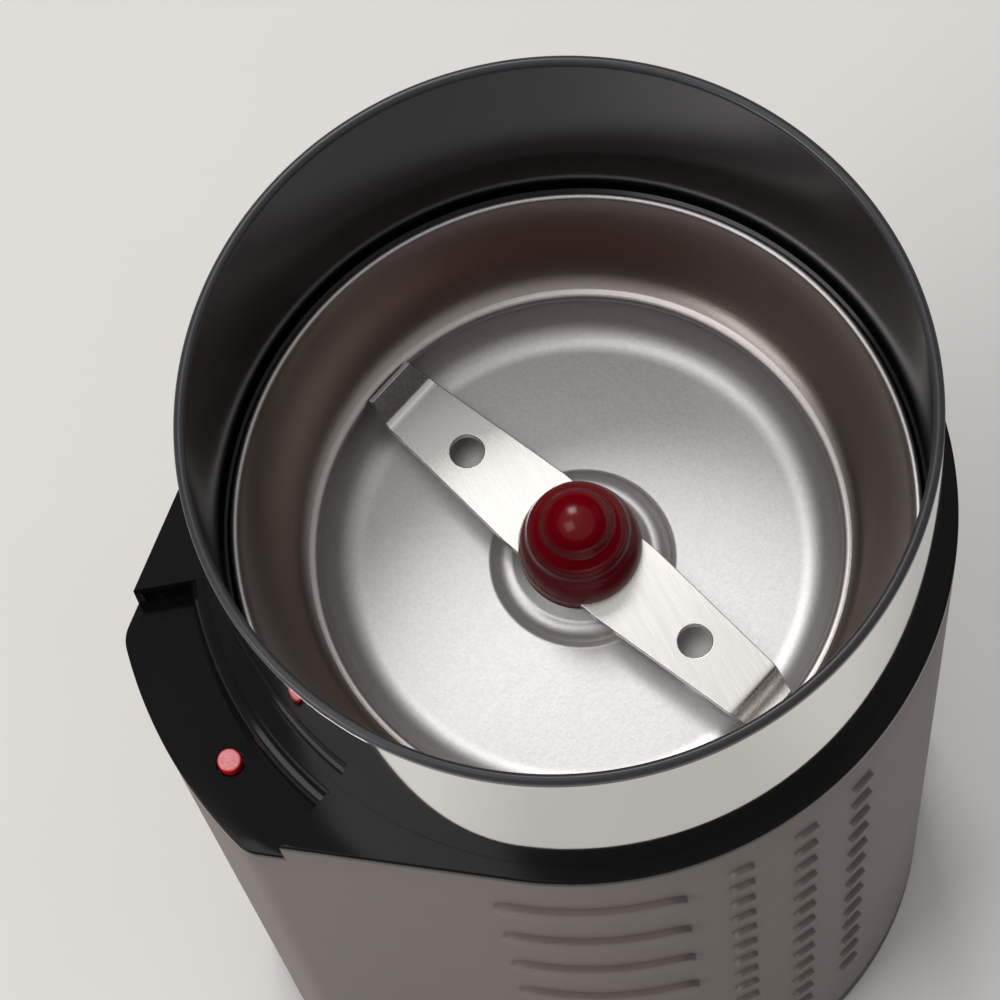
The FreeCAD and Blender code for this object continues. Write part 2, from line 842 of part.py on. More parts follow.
def chassis():
    """Round carrier plate with a bearing tower, motor legs, screw lugs and an arm for the switch."""
    tower_r = bearing_r + tower_wall
    seat_z = tower_top_z
    pieces = [
        cylinder(tower_r, chassis_z, tower_top_z),
        cylinder(chassis_plate_r, chassis_z, chassis_top_z),
        tube(gasket_r + 0.8, tower_r - 1, tower_top_z - 2.4, seat_z),
    ]
    arm_y = pin_y()
    arm_start = -(pin_place_r + 1.0)
    root = chassis_plate_r - chassis_root
    pieces.append(box(arm_start, -root, arm_y - 5.5, arm_y + 5.5, chassis_z, chassis_top_z))
    for place in post_places():
        azimuth = math.degrees(math.atan2(place.y, place.x))
        lug = cylinder(post_r + 0.9, chassis_z, chassis_top_z, place.x, place.y)
        bar = box(root, post_circle_r, -post_r - 0.9, post_r + 0.9, chassis_z, chassis_top_z)
        pieces.append(lug.fuse(turned_copy(bar, azimuth)))
    for side in (-1, 1):
        pieces.append(cylinder(chassis_leg_r, stack_top_z + rubber_washer_thickness, chassis_z + 1,
                               side * bolt_offset, 0))
    gusset = box(tower_r - 1, root, -0.9, 0.9, chassis_top_z - 0.5, tower_top_z - 1.2)
    slope = box(-20, 20, -2, 2, 0, 20)
    slope.rotate(ORIGIN, vec(0, 1, 0), 42)
    slope.translate(vec(gasket_r + 0.8, 0, tower_top_z - 1.2))
    pieces += ring_of(gusset.cut(slope), 6, 30)
    frame = pieces[0].multiFuse(pieces[1:])
    cuts = [
        cylinder(bearing_r, chassis_z - 1, upper_bearing_top_z),
        cylinder(seal_r + 0.2, chassis_z, tower_top_z + 1),
    ]
    for place in post_places():
        cuts.append(cylinder(chassis_screw_r + 0.3, chassis_z - 1, chassis_top_z + 1, place.x, place.y))
    for side in (-1, 1):
        cuts.append(cylinder(bolt_r, chassis_z - leg_length - 1, chassis_z - 3.6, side * bolt_offset, 0))
    window = sector(tower_r + 4.5, window_outer_r, chassis_z - 1, chassis_top_z + 1, window_half_angle)
    cuts += [turned_copy(window, azimuth - 180) for azimuth in (60, 120, 240, 300)]
    return frame.cut(Part.makeCompound(cuts))


def chassis_screws():
    screws = []
    for place in post_places():
        head = cylinder(chassis_screw_head_r, chassis_z - screw_head_height, chassis_z, place.x, place.y)
        slot = box(place.x - 4, place.x + 4, place.y - 0.4, place.y + 0.4,
                   chassis_z - screw_head_height - 1, chassis_z - screw_head_height + 0.8)
        shank = cylinder(chassis_screw_r, chassis_z, chassis_z + chassis_screw_length, place.x, place.y)
        screws.append(head.cut(slot).fuse(shank))
    return screws


def bowl_gasket():
    return tube(gasket_r, gasket_r - gasket_width, tower_top_z, tower_top_z + gasket_thickness)


def grinding_bowl():
    """Pressed bowl: rolled bead, hollow-curved wall, shelf, step, floor and raised centre boss."""
    shelf_z = floor_z + shelf_height
    boss_z = floor_z + boss_height
    bead_z = bead_top_z - bead_tube_r
    rim = bowl_rim_r
    outline = Outline(rim, bead_z)
    outline.arc((rim - 1.6, bead_z - 5.9), (rim - 5.4, shelf_z + 0.35))
    outline.line(shelf_inner_r, shelf_z)
    outline.arc((step_r + 0.35, shelf_z - 0.35), (step_r, shelf_z - 1.2))
    outline.line(step_r - 0.2, floor_z + step_fillet)
    outline.arc((step_r - 0.2 - step_fillet * 0.293, floor_z + step_fillet * 0.293),
                (step_r - 0.2 - step_fillet, floor_z))
    outline.line(boss_foot_r + 0.4, floor_z)
    outline.arc((boss_foot_r - 0.2, floor_z + 0.25), (boss_foot_r - 0.6, floor_z + 0.8))
    outline.line(boss_top_r + 0.5, boss_z - 0.5)
    outline.arc((boss_top_r + 0.25, boss_z - 0.12), (boss_top_r - 0.2, boss_z))
    outline.line(seal_r, boss_z)
    outline.line(seal_r, boss_z - sheet)
    outline.line(boss_top_r - 0.6, boss_z - sheet)
    outline.line(boss_foot_r - 1.5, floor_z - sheet)
    outline.line(step_r + 0.1 - step_fillet, floor_z - sheet)
    outline.arc((step_r + 0.1 - step_fillet * 0.293 + 0.35, floor_z - sheet + step_fillet * 0.293),
                (step_r + sheet - 0.2, floor_z + step_fillet - 0.3))
    outline.line(step_r + sheet, shelf_z - sheet - 0.3)
    outline.line(rim - 5.0, shelf_z + 0.35 - sheet)
    outline.arc((rim - 1.2 + sheet * 0.6, bead_z - 6.4), (rim + 0.6, bead_z - bead_tube_r))
    outline.line(rim + 0.6, bead_z)
    wall = outline.turned()
    bead = Part.makeTorus(rim + bead_tube_r, bead_tube_r, vec(0, 0, bead_z))
    return wall.fuse(bead)


def shaft_seal():
    """Rubber lip seal in the hole of the boss, with a flange under the sheet."""
    boss_z = floor_z + boss_height
    under = boss_z - sheet
    low = upper_bearing_top_z + 0.4
    outline = Outline(shaft_r + seal_fit, boss_z - 0.2).line(seal_r, boss_z - 0.2).line(seal_r, under)
    outline.line(seal_r + 1.6, under).line(seal_r + 1.6, under - 1.4).line(seal_r - 0.4, under - 1.4)
    outline.line(seal_r - 0.4, low).line(seal_r - 1.3, low).line(shaft_r + seal_fit, under - 0.8)
    return outline.turned()


# Blade and hub


def blade_blank():
    """Flat strip along X, widest where it leaves the hub and narrower at its two bend lines."""
    root = blade_root_width / 2
    end = blade_end_width / 2
    corners = []
    for x, y in ((hub_skirt_r, root), (blade_bend_r, end), (blade_bend_r, -end), (hub_skirt_r, -root),
                 (-hub_skirt_r, -root), (-blade_bend_r, -end), (-blade_bend_r, end), (-hub_skirt_r, root)):
        corners.append(vec(x, y, 0))
    face = Part.Face(Part.makePolygon(corners + [corners[0]]))
    return face.extrude(vec(0, 0, -blade_thickness))


def blade_tab(angle):
    """Tip that starts on the bend line, narrows to its end and is bent up by the angle given."""
    end = blade_end_width / 2
    tip = blade_tab_width / 2
    length = blade_tab_length
    outline = Part.makePolygon([vec(0, end, 0), vec(length, tip, 0), vec(length, -tip, 0),
                                vec(0, -end, 0), vec(0, end, 0)])
    tab = Part.Face(outline).extrude(vec(0, 0, -blade_thickness))
    tab.rotate(ORIGIN, vec(0, 1, 0), -angle)
    if angle > 0:
        turn = math.radians(angle)
        t = blade_thickness
        corner = vec(t * math.sin(turn), 0, -t * math.cos(turn))
        outer = vec(t * math.tan(turn / 2), 0, -t)
        wedge = Part.Face(Part.makePolygon([ORIGIN, vec(0, 0, -t), outer, corner, ORIGIN]))
        wedge.translate(vec(0, -end, 0))
        tab = tab.fuse(wedge.extrude(vec(0, 2 * end, 0)))
    tab.translate(vec(blade_bend_r, 0, 0))
    return tab


def blade_body():
    """Blade without its holes: one tip bent up and the other down."""
    tabs = [blade_tab(blade_up_angle), turned_copy(blade_tab(-blade_down_angle), 180)]
    solid = blade_blank().multiFuse(tabs)
    solid.translate(vec(0, 0, blade_z))
    return turned_copy(solid, blade_azimuth)


def blade():
    holes = [cylinder(shaft_r, blade_z - 5, blade_z + 5)]
    for side in (0, 180):
        place = polar(blade_hole_place, blade_azimuth + side)
        holes.append(cylinder(blade_hole_r, blade_z - 5, blade_z + 5, place.x, place.y))
    return blade_body().cut(Part.makeCompound(holes))


def hub_cap():
    """Moulded hub that grips the blade: round skirt, shoulder ring and domed top."""
    low = floor_z + boss_height + hub_gap
    skirt = low + hub_skirt_height
    ring = low + hub_ring_height
    top = low + hub_height
    outline = Outline(0, low).line(hub_skirt_r - 0.3, low).line(hub_skirt_r, low + 0.3)
    outline.line(hub_skirt_r, skirt - 1.0)
    outline.arc((hub_skirt_r - 0.35, skirt - 0.35), (hub_skirt_r - 1.1, skirt + 0.3))
    outline.line(hub_ring_r + 0.1, skirt + 1.3)
    outline.arc((hub_ring_r - 0.15, skirt + 2.0), (hub_dome_r + 0.45, ring))
    centre = top - hub_dome_r
    half_way = hub_dome_r * math.sqrt(0.5)
    outline.line(hub_dome_r, ring + 0.4).line(hub_dome_r, centre)
    outline.arc((half_way, centre + half_way), (0, top))
    return outline.turned().cut(blade_body()).cut(motor_shaft())


# Collar


def collar():
    """Upper housing ring: thin wall, ledge, flared nose with the switch recess, sleeve and posts."""
    top_round = 0.5
    bottom_outer = shell_inner_r(sleeve_bottom_z) - sleeve_clearance
    outline = Outline(collar_bore_r, bead_seat_z).line(collar_bore_r, rim_z - top_round)
    outline.arc((collar_bore_r + 0.18, rim_z - 0.15), (collar_bore_r + 0.6, rim_z))
    outline.arc((collar_outer_r - 0.18, rim_z - 0.15), (collar_outer_r, rim_z - top_round))
    outline.line(collar_outer_r, rim_z - band_top_drop).line(band_inner_r, rim_z - band_top_drop)
    outline.line(band_inner_r, ledge_z).line(collar_outer_r, ledge_z)
    outline.line(collar_outer_r, seam_z).line(shell_inner_r(seam_z) - sleeve_clearance, seam_z)
    outline.line(bottom_outer, sleeve_bottom_z).line(bead_seat_r, sleeve_bottom_z)
    outline.line(bead_seat_r, bead_seat_z)
    ring = outline.turned()
    flange = housing_plate(seam_z, ledge_z, 0, seam_z)
    inset = body_wall + sleeve_clearance
    edge = recess_half_angle + 2.2
    skirt = housing_block(pad_bottom_z, seam_z, inset).cut(housing_block(pad_bottom_z - 1, seam_z + 1, inset + 1.6))
    block = housing_block(pad_bottom_z, seam_z, inset).common(
        sector(lip_foot_r - recess_wall, nose_r + 4, pad_bottom_z, seam_z, edge))
    fill = housing_plate(notch_z, seam_z, 0, seam_z).common(
        sector(body_r - 2.6, nose_r + 4, notch_z, seam_z, recess_half_angle - 0.15))
    solid = flange.multiFuse([skirt, block, fill])
    solid = solid.cut(cylinder(collar_bore_r + 0.3, pad_bottom_z - 2, rim_z))
    window_top = guide_z() + guide_thickness + running_gap
    window = sector(bead_seat_r - 3, collar_outer_r, sleeve_bottom_z - 1, window_top, 11)
    solid = solid.fuse(ring.cut(turned_copy(window, pin_azimuth - 180)))
    tool = Outline(lip_foot_r, pad_z).line(nose_r + 6, pad_z).line(nose_r + 6, ledge_z + 2)
    tool.line(collar_outer_r + 1.2, ledge_z + 2).line(collar_outer_r + 1.2, ledge_z)
    tool.arc((collar_outer_r + 2.5, ledge_z - 0.7), (lip_foot_r - 0.25, ledge_z - 2.2))
    solid = solid.cut(tool.turned(2 * recess_half_angle, 180 - recess_half_angle))
    solid = solid.cut(cylinder(pin_r + pin_hole_gap, pad_bottom_z - 2, pad_z + 2, pin_x(), pin_y()))
    posts = []
    for place in post_places():
        azimuth = math.degrees(math.atan2(place.y, place.x))
        post = cylinder(post_r, chassis_top_z, floor_z + shelf_height - sheet - 1.4, place.x, place.y)
        web = box(post_circle_r, bead_seat_r + 0.4, -1.0, 1.0, sleeve_bottom_z, floor_z + shelf_height - sheet - 1.4)
        pilot = cylinder(chassis_screw_r, chassis_top_z - 1, chassis_z + chassis_screw_length, place.x, place.y)
        posts.append(post.fuse(turned_copy(web, azimuth)).cut(pilot))
    return solid.multiFuse(posts)


def steel_band():
    """Polished steel sleeve let into the outside of the collar, from the ledge to just under the rim."""
    return tube(collar_outer_r, band_inner_r, ledge_z, rim_z - band_top_drop)


def shell_inner_r(z):
    return body_r - body_draft * (seam_z - z) - body_wall


# Lid switch


def pin_x():
    return polar(pin_place_r, pin_azimuth).x


def pin_y():
    return polar(pin_place_r, pin_azimuth).y


def pin_flange_z():
    return pad_bottom_z - running_gap - pin_flange_height


def pin_bottom_z():
    return pin_flange_z() - pin_stem_length


def guide_z():
    return pin_bottom_z() + 0.9


def plunger_top_z():
    return pin_bottom_z() - running_gap


def switch_top_z():
    return plunger_top_z() - plunger_proud


def switch_pin():
    """Round push pin with a domed top, a stop flange under the pad and a stem to the switch."""
    top = pad_z + pin_proud
    flange = pin_flange_z()
    outline = Outline(0, pin_bottom_z()).line(pin_stem_r, pin_bottom_z()).line(pin_stem_r, flange)
    outline.line(pin_flange_r, flange).line(pin_flange_r, flange + pin_flange_height)
    outline.line(pin_r, flange + pin_flange_height).line(pin_r, top - 0.35)
    outline.arc((pin_r - 0.12, top - 0.12), (pin_r - 0.4, top - 0.05)).line(0, top)
    pin = outline.turned()
    pin.translate(vec(pin_x(), pin_y(), 0))
    return pin


def pin_spring():
    low = guide_z() + guide_thickness + running_gap
    high = pin_flange_z() - running_gap
    spring = coil_spring(spring_wire_r, spring_mean_r, high - low, spring_turns)
    spring.translate(vec(pin_x(), pin_y(), low))
    return spring


def switch_plunger_x():
    return pin_x() + plunger_offset


def micro_switch():
    """Sealed switch body with two terminals on its inner end."""
    x0 = switch_plunger_x() - plunger_edge
    y0 = pin_y() - switch_width / 2
    low = switch_top_z() - switch_height
    body = rounded_box(x0, x0 + switch_length, y0, y0 + switch_width, low, switch_top_z(), 0.6)
    hole = cylinder(plunger_r + 0.1, switch_top_z() - 3.4, switch_top_z() + 1, switch_plunger_x(), pin_y())
    body = body.cut(hole)
    blades = []
    for z in (low + 1.2, low + 3.6):
        blades.append(box(x0 + switch_length - 0.2, x0 + switch_length + 4.5, pin_y() - 1.6, pin_y() + 1.6,
                          z, z + 0.6))
    return body.multiFuse(blades)


def switch_plunger():
    """Plunger of the switch; its foot stays inside the switch over the whole stroke."""
    top = plunger_top_z()
    outline = Outline(0, switch_top_z() - 0.9).line(plunger_r, switch_top_z() - 0.9)
    outline.line(plunger_r, top - 0.2).line(plunger_r - 0.2, top).line(0, top)
    plunger = outline.turned()
    plunger.translate(vec(switch_plunger_x(), pin_y(), 0))
    return plunger


def switch_bracket():
    """Cradle on the arm of the chassis: floor, two cheeks and a guide plate for the pin."""
    x0 = switch_plunger_x() - plunger_edge
    y0 = pin_y() - switch_width / 2
    low = chassis_top_z
    seat = switch_top_z() - switch_height
    top = guide_z() + guide_thickness
    floor = box(x0, x0 + switch_length, y0, y0 + switch_width, low, seat)
    pieces = [floor]
    for y in (y0 - guide_wall, y0 + switch_width):
        pieces.append(box(x0 + 0.6, x0 + switch_length - 3, y, y + guide_wall, low, top))
    pieces.append(box(pin_x() - pin_flange_r + 0.5, x0 + switch_length - 3, y0 - guide_wall,
                      y0 + switch_width + guide_wall, guide_z(), top))
    bracket = pieces[0].multiFuse(pieces[1:])
    return bracket.cut(cylinder(pin_stem_r + pin_hole_gap, low, top + 1, pin_x(), pin_y()))


def build():
    os.makedirs("parts", exist_ok=True)
    save("body_shell", body_shell())
    save("grip_sleeve", grip_sleeve())
    save("cord_grommet", cord_grommet())
    save("base_plate", base_plate())
    save("base_screws", base_screws())
    save("rubber_feet", rubber_feet())
    save("capacitor", capacitor())
    save("terminal_block", terminal_block())
    save("stator_core", stator_core())
    save("field_coils", field_coils())
    save("thermal_fuse", thermal_fuse())
    save("lower_bracket", lower_bracket())
    save("lower_bearing", bearing(lower_bearing_z, lower_bearing_top_z))
    save("brush_holders", brush_holders())
    save("carbon_brushes", carbon_brushes())
    save("brush_springs", brush_springs())
    save("motor_bolts", motor_bolts())
    save("rubber_washers", rubber_washers())
    save("motor_shaft", motor_shaft())
    save("armature_core", armature_core())
    save("armature_windings", armature_windings())
    save("commutator", commutator())
    save("cooling_fan", cooling_fan())
    save("lower_thrust_washer", thrust_washer(lower_washer_z))
    save("upper_thrust_washer", thrust_washer(upper_washer_z))
    save("chassis", chassis())
    save("chassis_screws", chassis_screws())
    save("upper_bearing", bearing(upper_bearing_z, upper_bearing_top_z))
    save("bowl_gasket", bowl_gasket())
    save("grinding_bowl", grinding_bowl())
    save("shaft_seal", shaft_seal())
    save("blade", blade())
    save("hub_cap", hub_cap())
    save("collar", collar())
    save("steel_band", steel_band())
    save("switch_pin", switch_pin())
    save("pin_spring", pin_spring())
    save("micro_switch", micro_switch())
    save("switch_plunger", switch_plunger())
    save("switch_bracket", switch_bracket())


build()
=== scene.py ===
"""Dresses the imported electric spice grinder: smooth turned and moulded surfaces, procedural finishes and a soft
studio around it. Lengths in the formulas are millimetres; every mesh is written in metres."""
import json
import math

import bmesh
import bpy
import numpy as np
from bpy.props import FloatProperty, FloatVectorProperty, PointerProperty
from mathutils import Matrix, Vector
from types import SimpleNamespace


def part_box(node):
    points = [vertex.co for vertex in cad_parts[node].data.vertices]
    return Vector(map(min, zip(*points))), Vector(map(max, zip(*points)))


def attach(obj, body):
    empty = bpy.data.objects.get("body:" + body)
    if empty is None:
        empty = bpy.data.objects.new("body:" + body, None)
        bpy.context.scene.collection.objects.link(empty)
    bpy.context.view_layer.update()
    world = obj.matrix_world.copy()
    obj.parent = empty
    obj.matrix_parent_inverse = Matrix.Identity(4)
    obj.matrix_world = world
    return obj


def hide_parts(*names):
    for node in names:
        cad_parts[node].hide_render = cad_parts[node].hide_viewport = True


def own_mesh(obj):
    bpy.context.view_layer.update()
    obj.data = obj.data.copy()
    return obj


bl_info = {
    "name": "Spice grinder dressing",
    "version": (1, 0, 0),
    "blender": (4, 5, 0),
    "location": "3D View > Sidebar > Spice grinder",
    "description": "Builds the visible pieces, finishes and studio of an electric spice grinder",
    "category": "Object",
}

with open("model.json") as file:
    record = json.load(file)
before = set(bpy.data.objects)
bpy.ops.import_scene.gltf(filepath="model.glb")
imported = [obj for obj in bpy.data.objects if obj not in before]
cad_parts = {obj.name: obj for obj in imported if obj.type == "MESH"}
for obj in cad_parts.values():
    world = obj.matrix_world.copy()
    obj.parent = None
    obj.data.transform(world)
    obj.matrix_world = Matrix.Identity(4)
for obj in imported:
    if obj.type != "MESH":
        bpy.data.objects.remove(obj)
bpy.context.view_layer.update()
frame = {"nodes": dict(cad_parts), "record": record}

MM = 0.001
# Distances from the tangent line at five points of a quarter round of radius 1
ROUND = np.array([1, 0.62, 0.29, 0.08, 0])
# The hole in the pad lies in a square window of 8 by 8 quads: half its depth in mm and half its width in degrees
WINDOW_DEPTH, WINDOW_ANGLE = 2.5, 3.1


def top_of(node):
    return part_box(node)[1].z / MM


def foot_of(node):
    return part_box(node)[0].z / MM


def linear(code):
    """sRGB hex colour turned to linear red, green and blue."""
    srgb = np.array([int(code[k:k + 2], 16) for k in (1, 3, 5)]) / 255
    curve = np.where(srgb <= 0.04045, srgb / 12.92, ((srgb + 0.055) / 1.055) ** 2.4)
    return tuple(float(part) for part in curve)


def length(name, text, default):
    return FloatProperty(name=name, description=text, default=default * MM, unit="LENGTH", subtype="DISTANCE")


def angle(name, text, degrees):
    return FloatProperty(name=name, description=text, default=math.radians(degrees), unit="ROTATION",
                         subtype="ANGLE")


def colour(name, text, code):
    return FloatVectorProperty(name=name, description=text, default=linear(code), size=3, min=0, max=1,
                               subtype="COLOR")


# Sizes that a user would change


class CollarSizes(bpy.types.PropertyGroup):
    """Upper ring with its ledge, nose and switch recess."""
    rim_z: length("Rim height", "Top of the collar above the table", top_of("collar"))
    ledge_z: length("Ledge height", "Top of the ledge that the lid rests on", foot_of("steel_band"))
    outer_r: length("Collar radius", "Outside of the polished band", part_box("steel_band")[1].x / MM)
    wall: length("Wall", "Thickness of the ring", 1.2)
    band_wall: length("Band thickness", "Thickness of the steel band", 0.5)
    band_drop: length("Band drop", "From the rim down to the steel band", 1.2)
    band_height: length("Black band", "Height of the black edge above the body", 1.3)
    recess_depth: length("Recess depth", "From the ledge down to the pad of the switch", 4.5)
    recess_half: angle("Recess half angle", "Half the width of the recess about the nose", 20.0)
    lip_r: length("Lip radius", "Foot of the curved lip behind the pad", 43.4)
    lip_top_r: length("Lip top radius", "Where the lip leaves the ledge", 41.2)
    edge: length("Edge round", "Round along the outer edge of the ledge", 0.3)
    sleeve_z: length("Sleeve height", "Lower end of the hidden sleeve", 112.3)
    seat_r: length("Seat radius", "Inside of the hidden sleeve under the bead", 37.95)
    seat_z: length("Seat height", "Step that the bead of the bowl rests on", 127.0)


class HousingSizes(bpy.types.PropertyGroup):
    """Soft-touch body below the seam."""
    body_r: length("Body radius", "Radius at the seam, away from the nose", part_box("collar")[1].x / MM)
    draft: FloatProperty(name="Draft", description="Narrowing of the body per unit of depth", default=0.025)
    nose_r: length("Nose radius", "Reach of the switch nose at the seam", -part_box("collar")[0].x / MM)
    nose_draft: FloatProperty(name="Nose draft", description="Narrowing of the nose per unit of depth",
                              default=0.0146)
    flank: angle("Flank angle", "Where the flanks of the nose leave the round body", 51.5)
    corner: length("Nose corner", "Radius of the two upright corners of the nose", 4.0)
    foot_z: length("Foot height", "Lower edge of the soft sleeve", foot_of("grip_sleeve"))
    skin: length("Skin", "Thickness of the soft sleeve", 0.8)
    edge: length("Edge round", "Round along the upper edge of the sleeve", 0.25)


class ReliefSizes(bpy.types.PropertyGroup):
    """Grip ribs and plain relief bars of the soft sleeve."""
    first_drop: length("First rib", "From the seam down to the highest rib", 9.6)
    pitch: length("Rib pitch", "From rib to rib", 7.7)
    rib_length: length("Rib length", "Length of a rib along the body", 3.0)
    rib_height: length("Rib height", "Height of a rib", 1.7)
    rib_proud: length("Rib relief", "How far a rib stands out", 0.7)
    rib_azimuth: angle("First rib column", "Azimuth of the first column", 265.4)
    rib_step: angle("Column step", "From column to column", 11.4)
    bar_azimuth: angle("Bar azimuth", "Middle of the relief bars", 241.7)
    bar_angle: angle("Bar width", "Angle that a bar spans", 24.0)
    bar_height: length("Bar height", "Height of a bar", 4.0)
    bar_proud: length("Bar relief", "How far a bar stands out", 0.8)
    bar_pitch: length("Bar pitch", "From bar to bar", 15.4)


class BowlSizes(bpy.types.PropertyGroup):
    """Pressed steel bowl."""
    floor_z: length("Floor height", "Inside floor of the bowl", 111.75)
    rim_r: length("Bowl radius", "Inside of the wall at the bead", 37.2)
    bead_z: length("Bead height", "Middle of the rolled bead", top_of("grinding_bowl") - 0.45)
    bead_r: length("Bead wire", "Radius of the rolled bead", 0.45)
    shelf: length("Shelf", "Height of the shelf above the floor", 5.65)
    shelf_r: length("Shelf radius", "Foot of the wall above the step", 30.4)
    belly: length("Belly", "How far the wall bows outwards", 0.9)
    step_r: length("Step radius", "Upright step between shelf and floor", 29.3)
    step_round: length("Step round", "Round between step and floor", 4.5)
    boss: length("Boss", "Height of the centre boss", 2.15)
    boss_foot_r: length("Boss foot", "Radius of the boss at the floor", 10.6)
    boss_step: length("Boss step", "Height of the outer step of the boss", 1.15)
    boss_top_r: length("Boss top", "Radius of the flat of the boss", 5.6)
    hole_r: length("Hole", "Radius of the hole for the seal", 5.0)
    sheet: length("Sheet", "Thickness of the steel", 0.8)


class BladeSizes(bpy.types.PropertyGroup):
    """Ground blade with one tip bent up and one bent down."""
    top_z: length("Blade height", "Upper face of the flat of the blade", 116.6)
    thickness: length("Thickness", "Thickness of the strip", 1.0)
    root_x: length("Root", "Where the taper starts", 6.8)
    root_half: length("Root half width", "Half width at the hub", 5.2)
    bend_x: length("Bend", "Distance of either bend line from the axis", 25.85)
    bend_half: length("Bend half width", "Half width at the bend lines", 3.75)
    bend: length("Bend length", "Length over which a tip is bent", 1.0)
    tip: length("Tip", "Length of a bent tip", 3.5)
    tip_half: length("Tip half width", "Half width at the end of a tip", 3.1)
    hole_x: length("Hole place", "Distance of either hole from the axis", 17.1)
    hole_r: length("Hole", "Radius of either hole", 1.95)
    up: angle("Upward bend", "Bend of the raised tip", 41.0)
    down: angle("Downward bend", "Bend of the lowered tip", 40.0)
    azimuth: angle("Azimuth", "Where the raised tip points", 108.6)


class HubSizes(bpy.types.PropertyGroup):
    """Moulded hub in the middle of the blade."""
    foot_z: length("Hub foot", "Lower edge of the hub", foot_of("hub_cap"))
    top_z: length("Hub top", "Top of the dome", top_of("hub_cap") + 1.0)
    skirt_r: length("Skirt radius", "Widest part of the hub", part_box("hub_cap")[1].x / MM + 0.1)
    skirt: length("Skirt height", "Height of the skirt", 5.6)
    ring_r: length("Ring radius", "Shoulder above the skirt", 5.5)
    ring: length("Ring height", "Height of the shoulder above the foot", 9.4)
    dome_r: length("Dome radius", "Radius of the dome", 4.1)


class PinSizes(bpy.types.PropertyGroup):
    """Push pin of the lid switch."""
    radius: length("Pin radius", "Radius of the pin", 1.35)
    hole: length("Hole radius", "Radius of the hole in the pad", 1.65)
    place: length("Place", "Distance of the pin from the axis", 46.4)
    azimuth: angle("Azimuth", "Azimuth of the pin", 185.5)
    top_z: length("Pin top", "Top of the pin", top_of("switch_pin"))
    foot_z: length("Pin foot", "Lower end of the stem", foot_of("switch_pin"))
    stem_r: length("Stem radius", "Radius of the stem", 1.2)
    flange_r: length("Flange radius", "Radius of the stop flange", 2.4)
    flange_z: length("Flange height", "Lower face of the stop flange", foot_of("switch_pin") + 7.8)
    flange: length("Flange thickness", "Thickness of the stop flange", 1.2)


class SpringSizes(bpy.types.PropertyGroup):
    """Return spring under the push pin."""
    foot_z: length("Spring foot", "Lower end of the spring", foot_of("pin_spring"))
    top_z: length("Spring top", "Upper end of the spring", top_of("pin_spring"))
    wire_r: length("Wire radius", "Radius of the wire", 0.28)
    mean_r: length("Mean radius", "Radius of the middle of the wire", 1.85)
    turns: FloatProperty(name="Turns", description="Number of turns", default=4.0)
    stroke: length("Stroke", "How far the pressed pin shortens the spring", 2.0)


class Finishes(bpy.types.PropertyGroup):
    """Colours of the finishes."""
    soft_touch: colour("Soft touch", "Warm charcoal elastomer of the body", "#635A57")
    gloss_black: colour("Gloss black", "High-gloss ABS of the collar", "#0B0A0C")
    satin_black: colour("Satin black", "Satin ABS of the rim", "#2B2A2E")
    bowl_steel: colour("Bowl steel", "Bead-blasted stainless steel", "#D4D2D1")
    # Painted shade: the wall colour is darker and browner than the bowl steel, for the black collar reflected in it
    bowl_wall: colour("Bowl wall", "Drawn wall of the bowl with its brown stain", "#A39892")
    band_steel: colour("Band steel", "Mirror-polished stainless steel", "#E8E6E4")
    blade_steel: colour("Blade steel", "Ground stainless steel", "#E0DDDA")
    hub_red: colour("Hub red", "Deep red polished ABS", "#6E0210")
    pin_red: colour("Pin red", "Red acetal of the push pin", "#B01822")
    # Painted highlight: the paler colour of the top of the pin, for the light that falls on it
    pin_worn: colour("Pin top", "Top of the push pin, rubbed paler", "#D2868A")
    table: colour("Table", "Pale laminate of the table", "#DAD8D5")


# Profiles and grids


def three_point_arc(start, middle, end):
    """Points from start to end on the circle through three points of the (r, z) plane, a point every 6 degrees.

    The centre comes from the complex ratio w = (end - start) / (middle - start) of the three points."""
    a, b, c = (complex(*point) for point in (start, middle, end))
    w = (c - a) / (b - a)
    centre = a + (b - a) * (w - abs(w) ** 2) / (2j * w.imag)
    half = np.angle((b - centre) / (a - centre))
    sweep = np.angle((c - centre) / (a - centre)) % (2 * np.pi)
    sweep = sweep if half > 0 else sweep - 2 * np.pi
    steps = np.linspace(0, 1, max(4, math.ceil(abs(sweep) / math.radians(6))) + 1)[1:]
    points = centre + (a - centre) * np.exp(1j * sweep * steps)
    return np.column_stack([points.real, points.imag])


def straight(start, end):
    """Line from start to end with a point close to either end, which keeps the shading of the flat flat."""
    start, end = np.array(start, float), np.array(end, float)
    near = min(0.3 / max(np.linalg.norm(end - start), 1e-9), 0.25)
    share = np.array([near, 1 - near, 1])[:, None]
    return start + (end - start) * share


def trace(start, *legs):
    """Profile in the (r, z) plane: each leg is an end point, or a middle and an end point of an arc."""
    runs = [np.array([start], float)]
    for leg in legs:
        here = runs[-1][-1]
        arc = np.ndim(leg) == 2
        runs.append(three_point_arc(here, *leg) if arc else straight(here, leg))
    return np.concatenate(runs)


def turned(profile, count=192):
    """Profile turned about Z: x = r cos a, y = r sin a, for count even steps of a."""
    a = np.linspace(0, 2 * np.pi, count, endpoint=False)[:, None]
    r, z = profile[:, 0], profile[:, 1]
    return np.stack([r * np.cos(a), r * np.sin(a), z + 0 * a], axis=-1)


def quads(rows, columns, close_rows, close_columns):
    """Corner numbers of the quads of a grid, with the last row or column joined to the first where asked."""
    i = np.arange(rows if close_rows else rows - 1)[:, None]
    j = np.arange(columns if close_columns else columns - 1)[None, :]
    after_i, after_j = (i + 1) % rows, (j + 1) % columns
    corners = [i * columns + j, after_i * columns + j, after_i * columns + after_j, i * columns + after_j]
    return np.stack(corners, axis=-1)


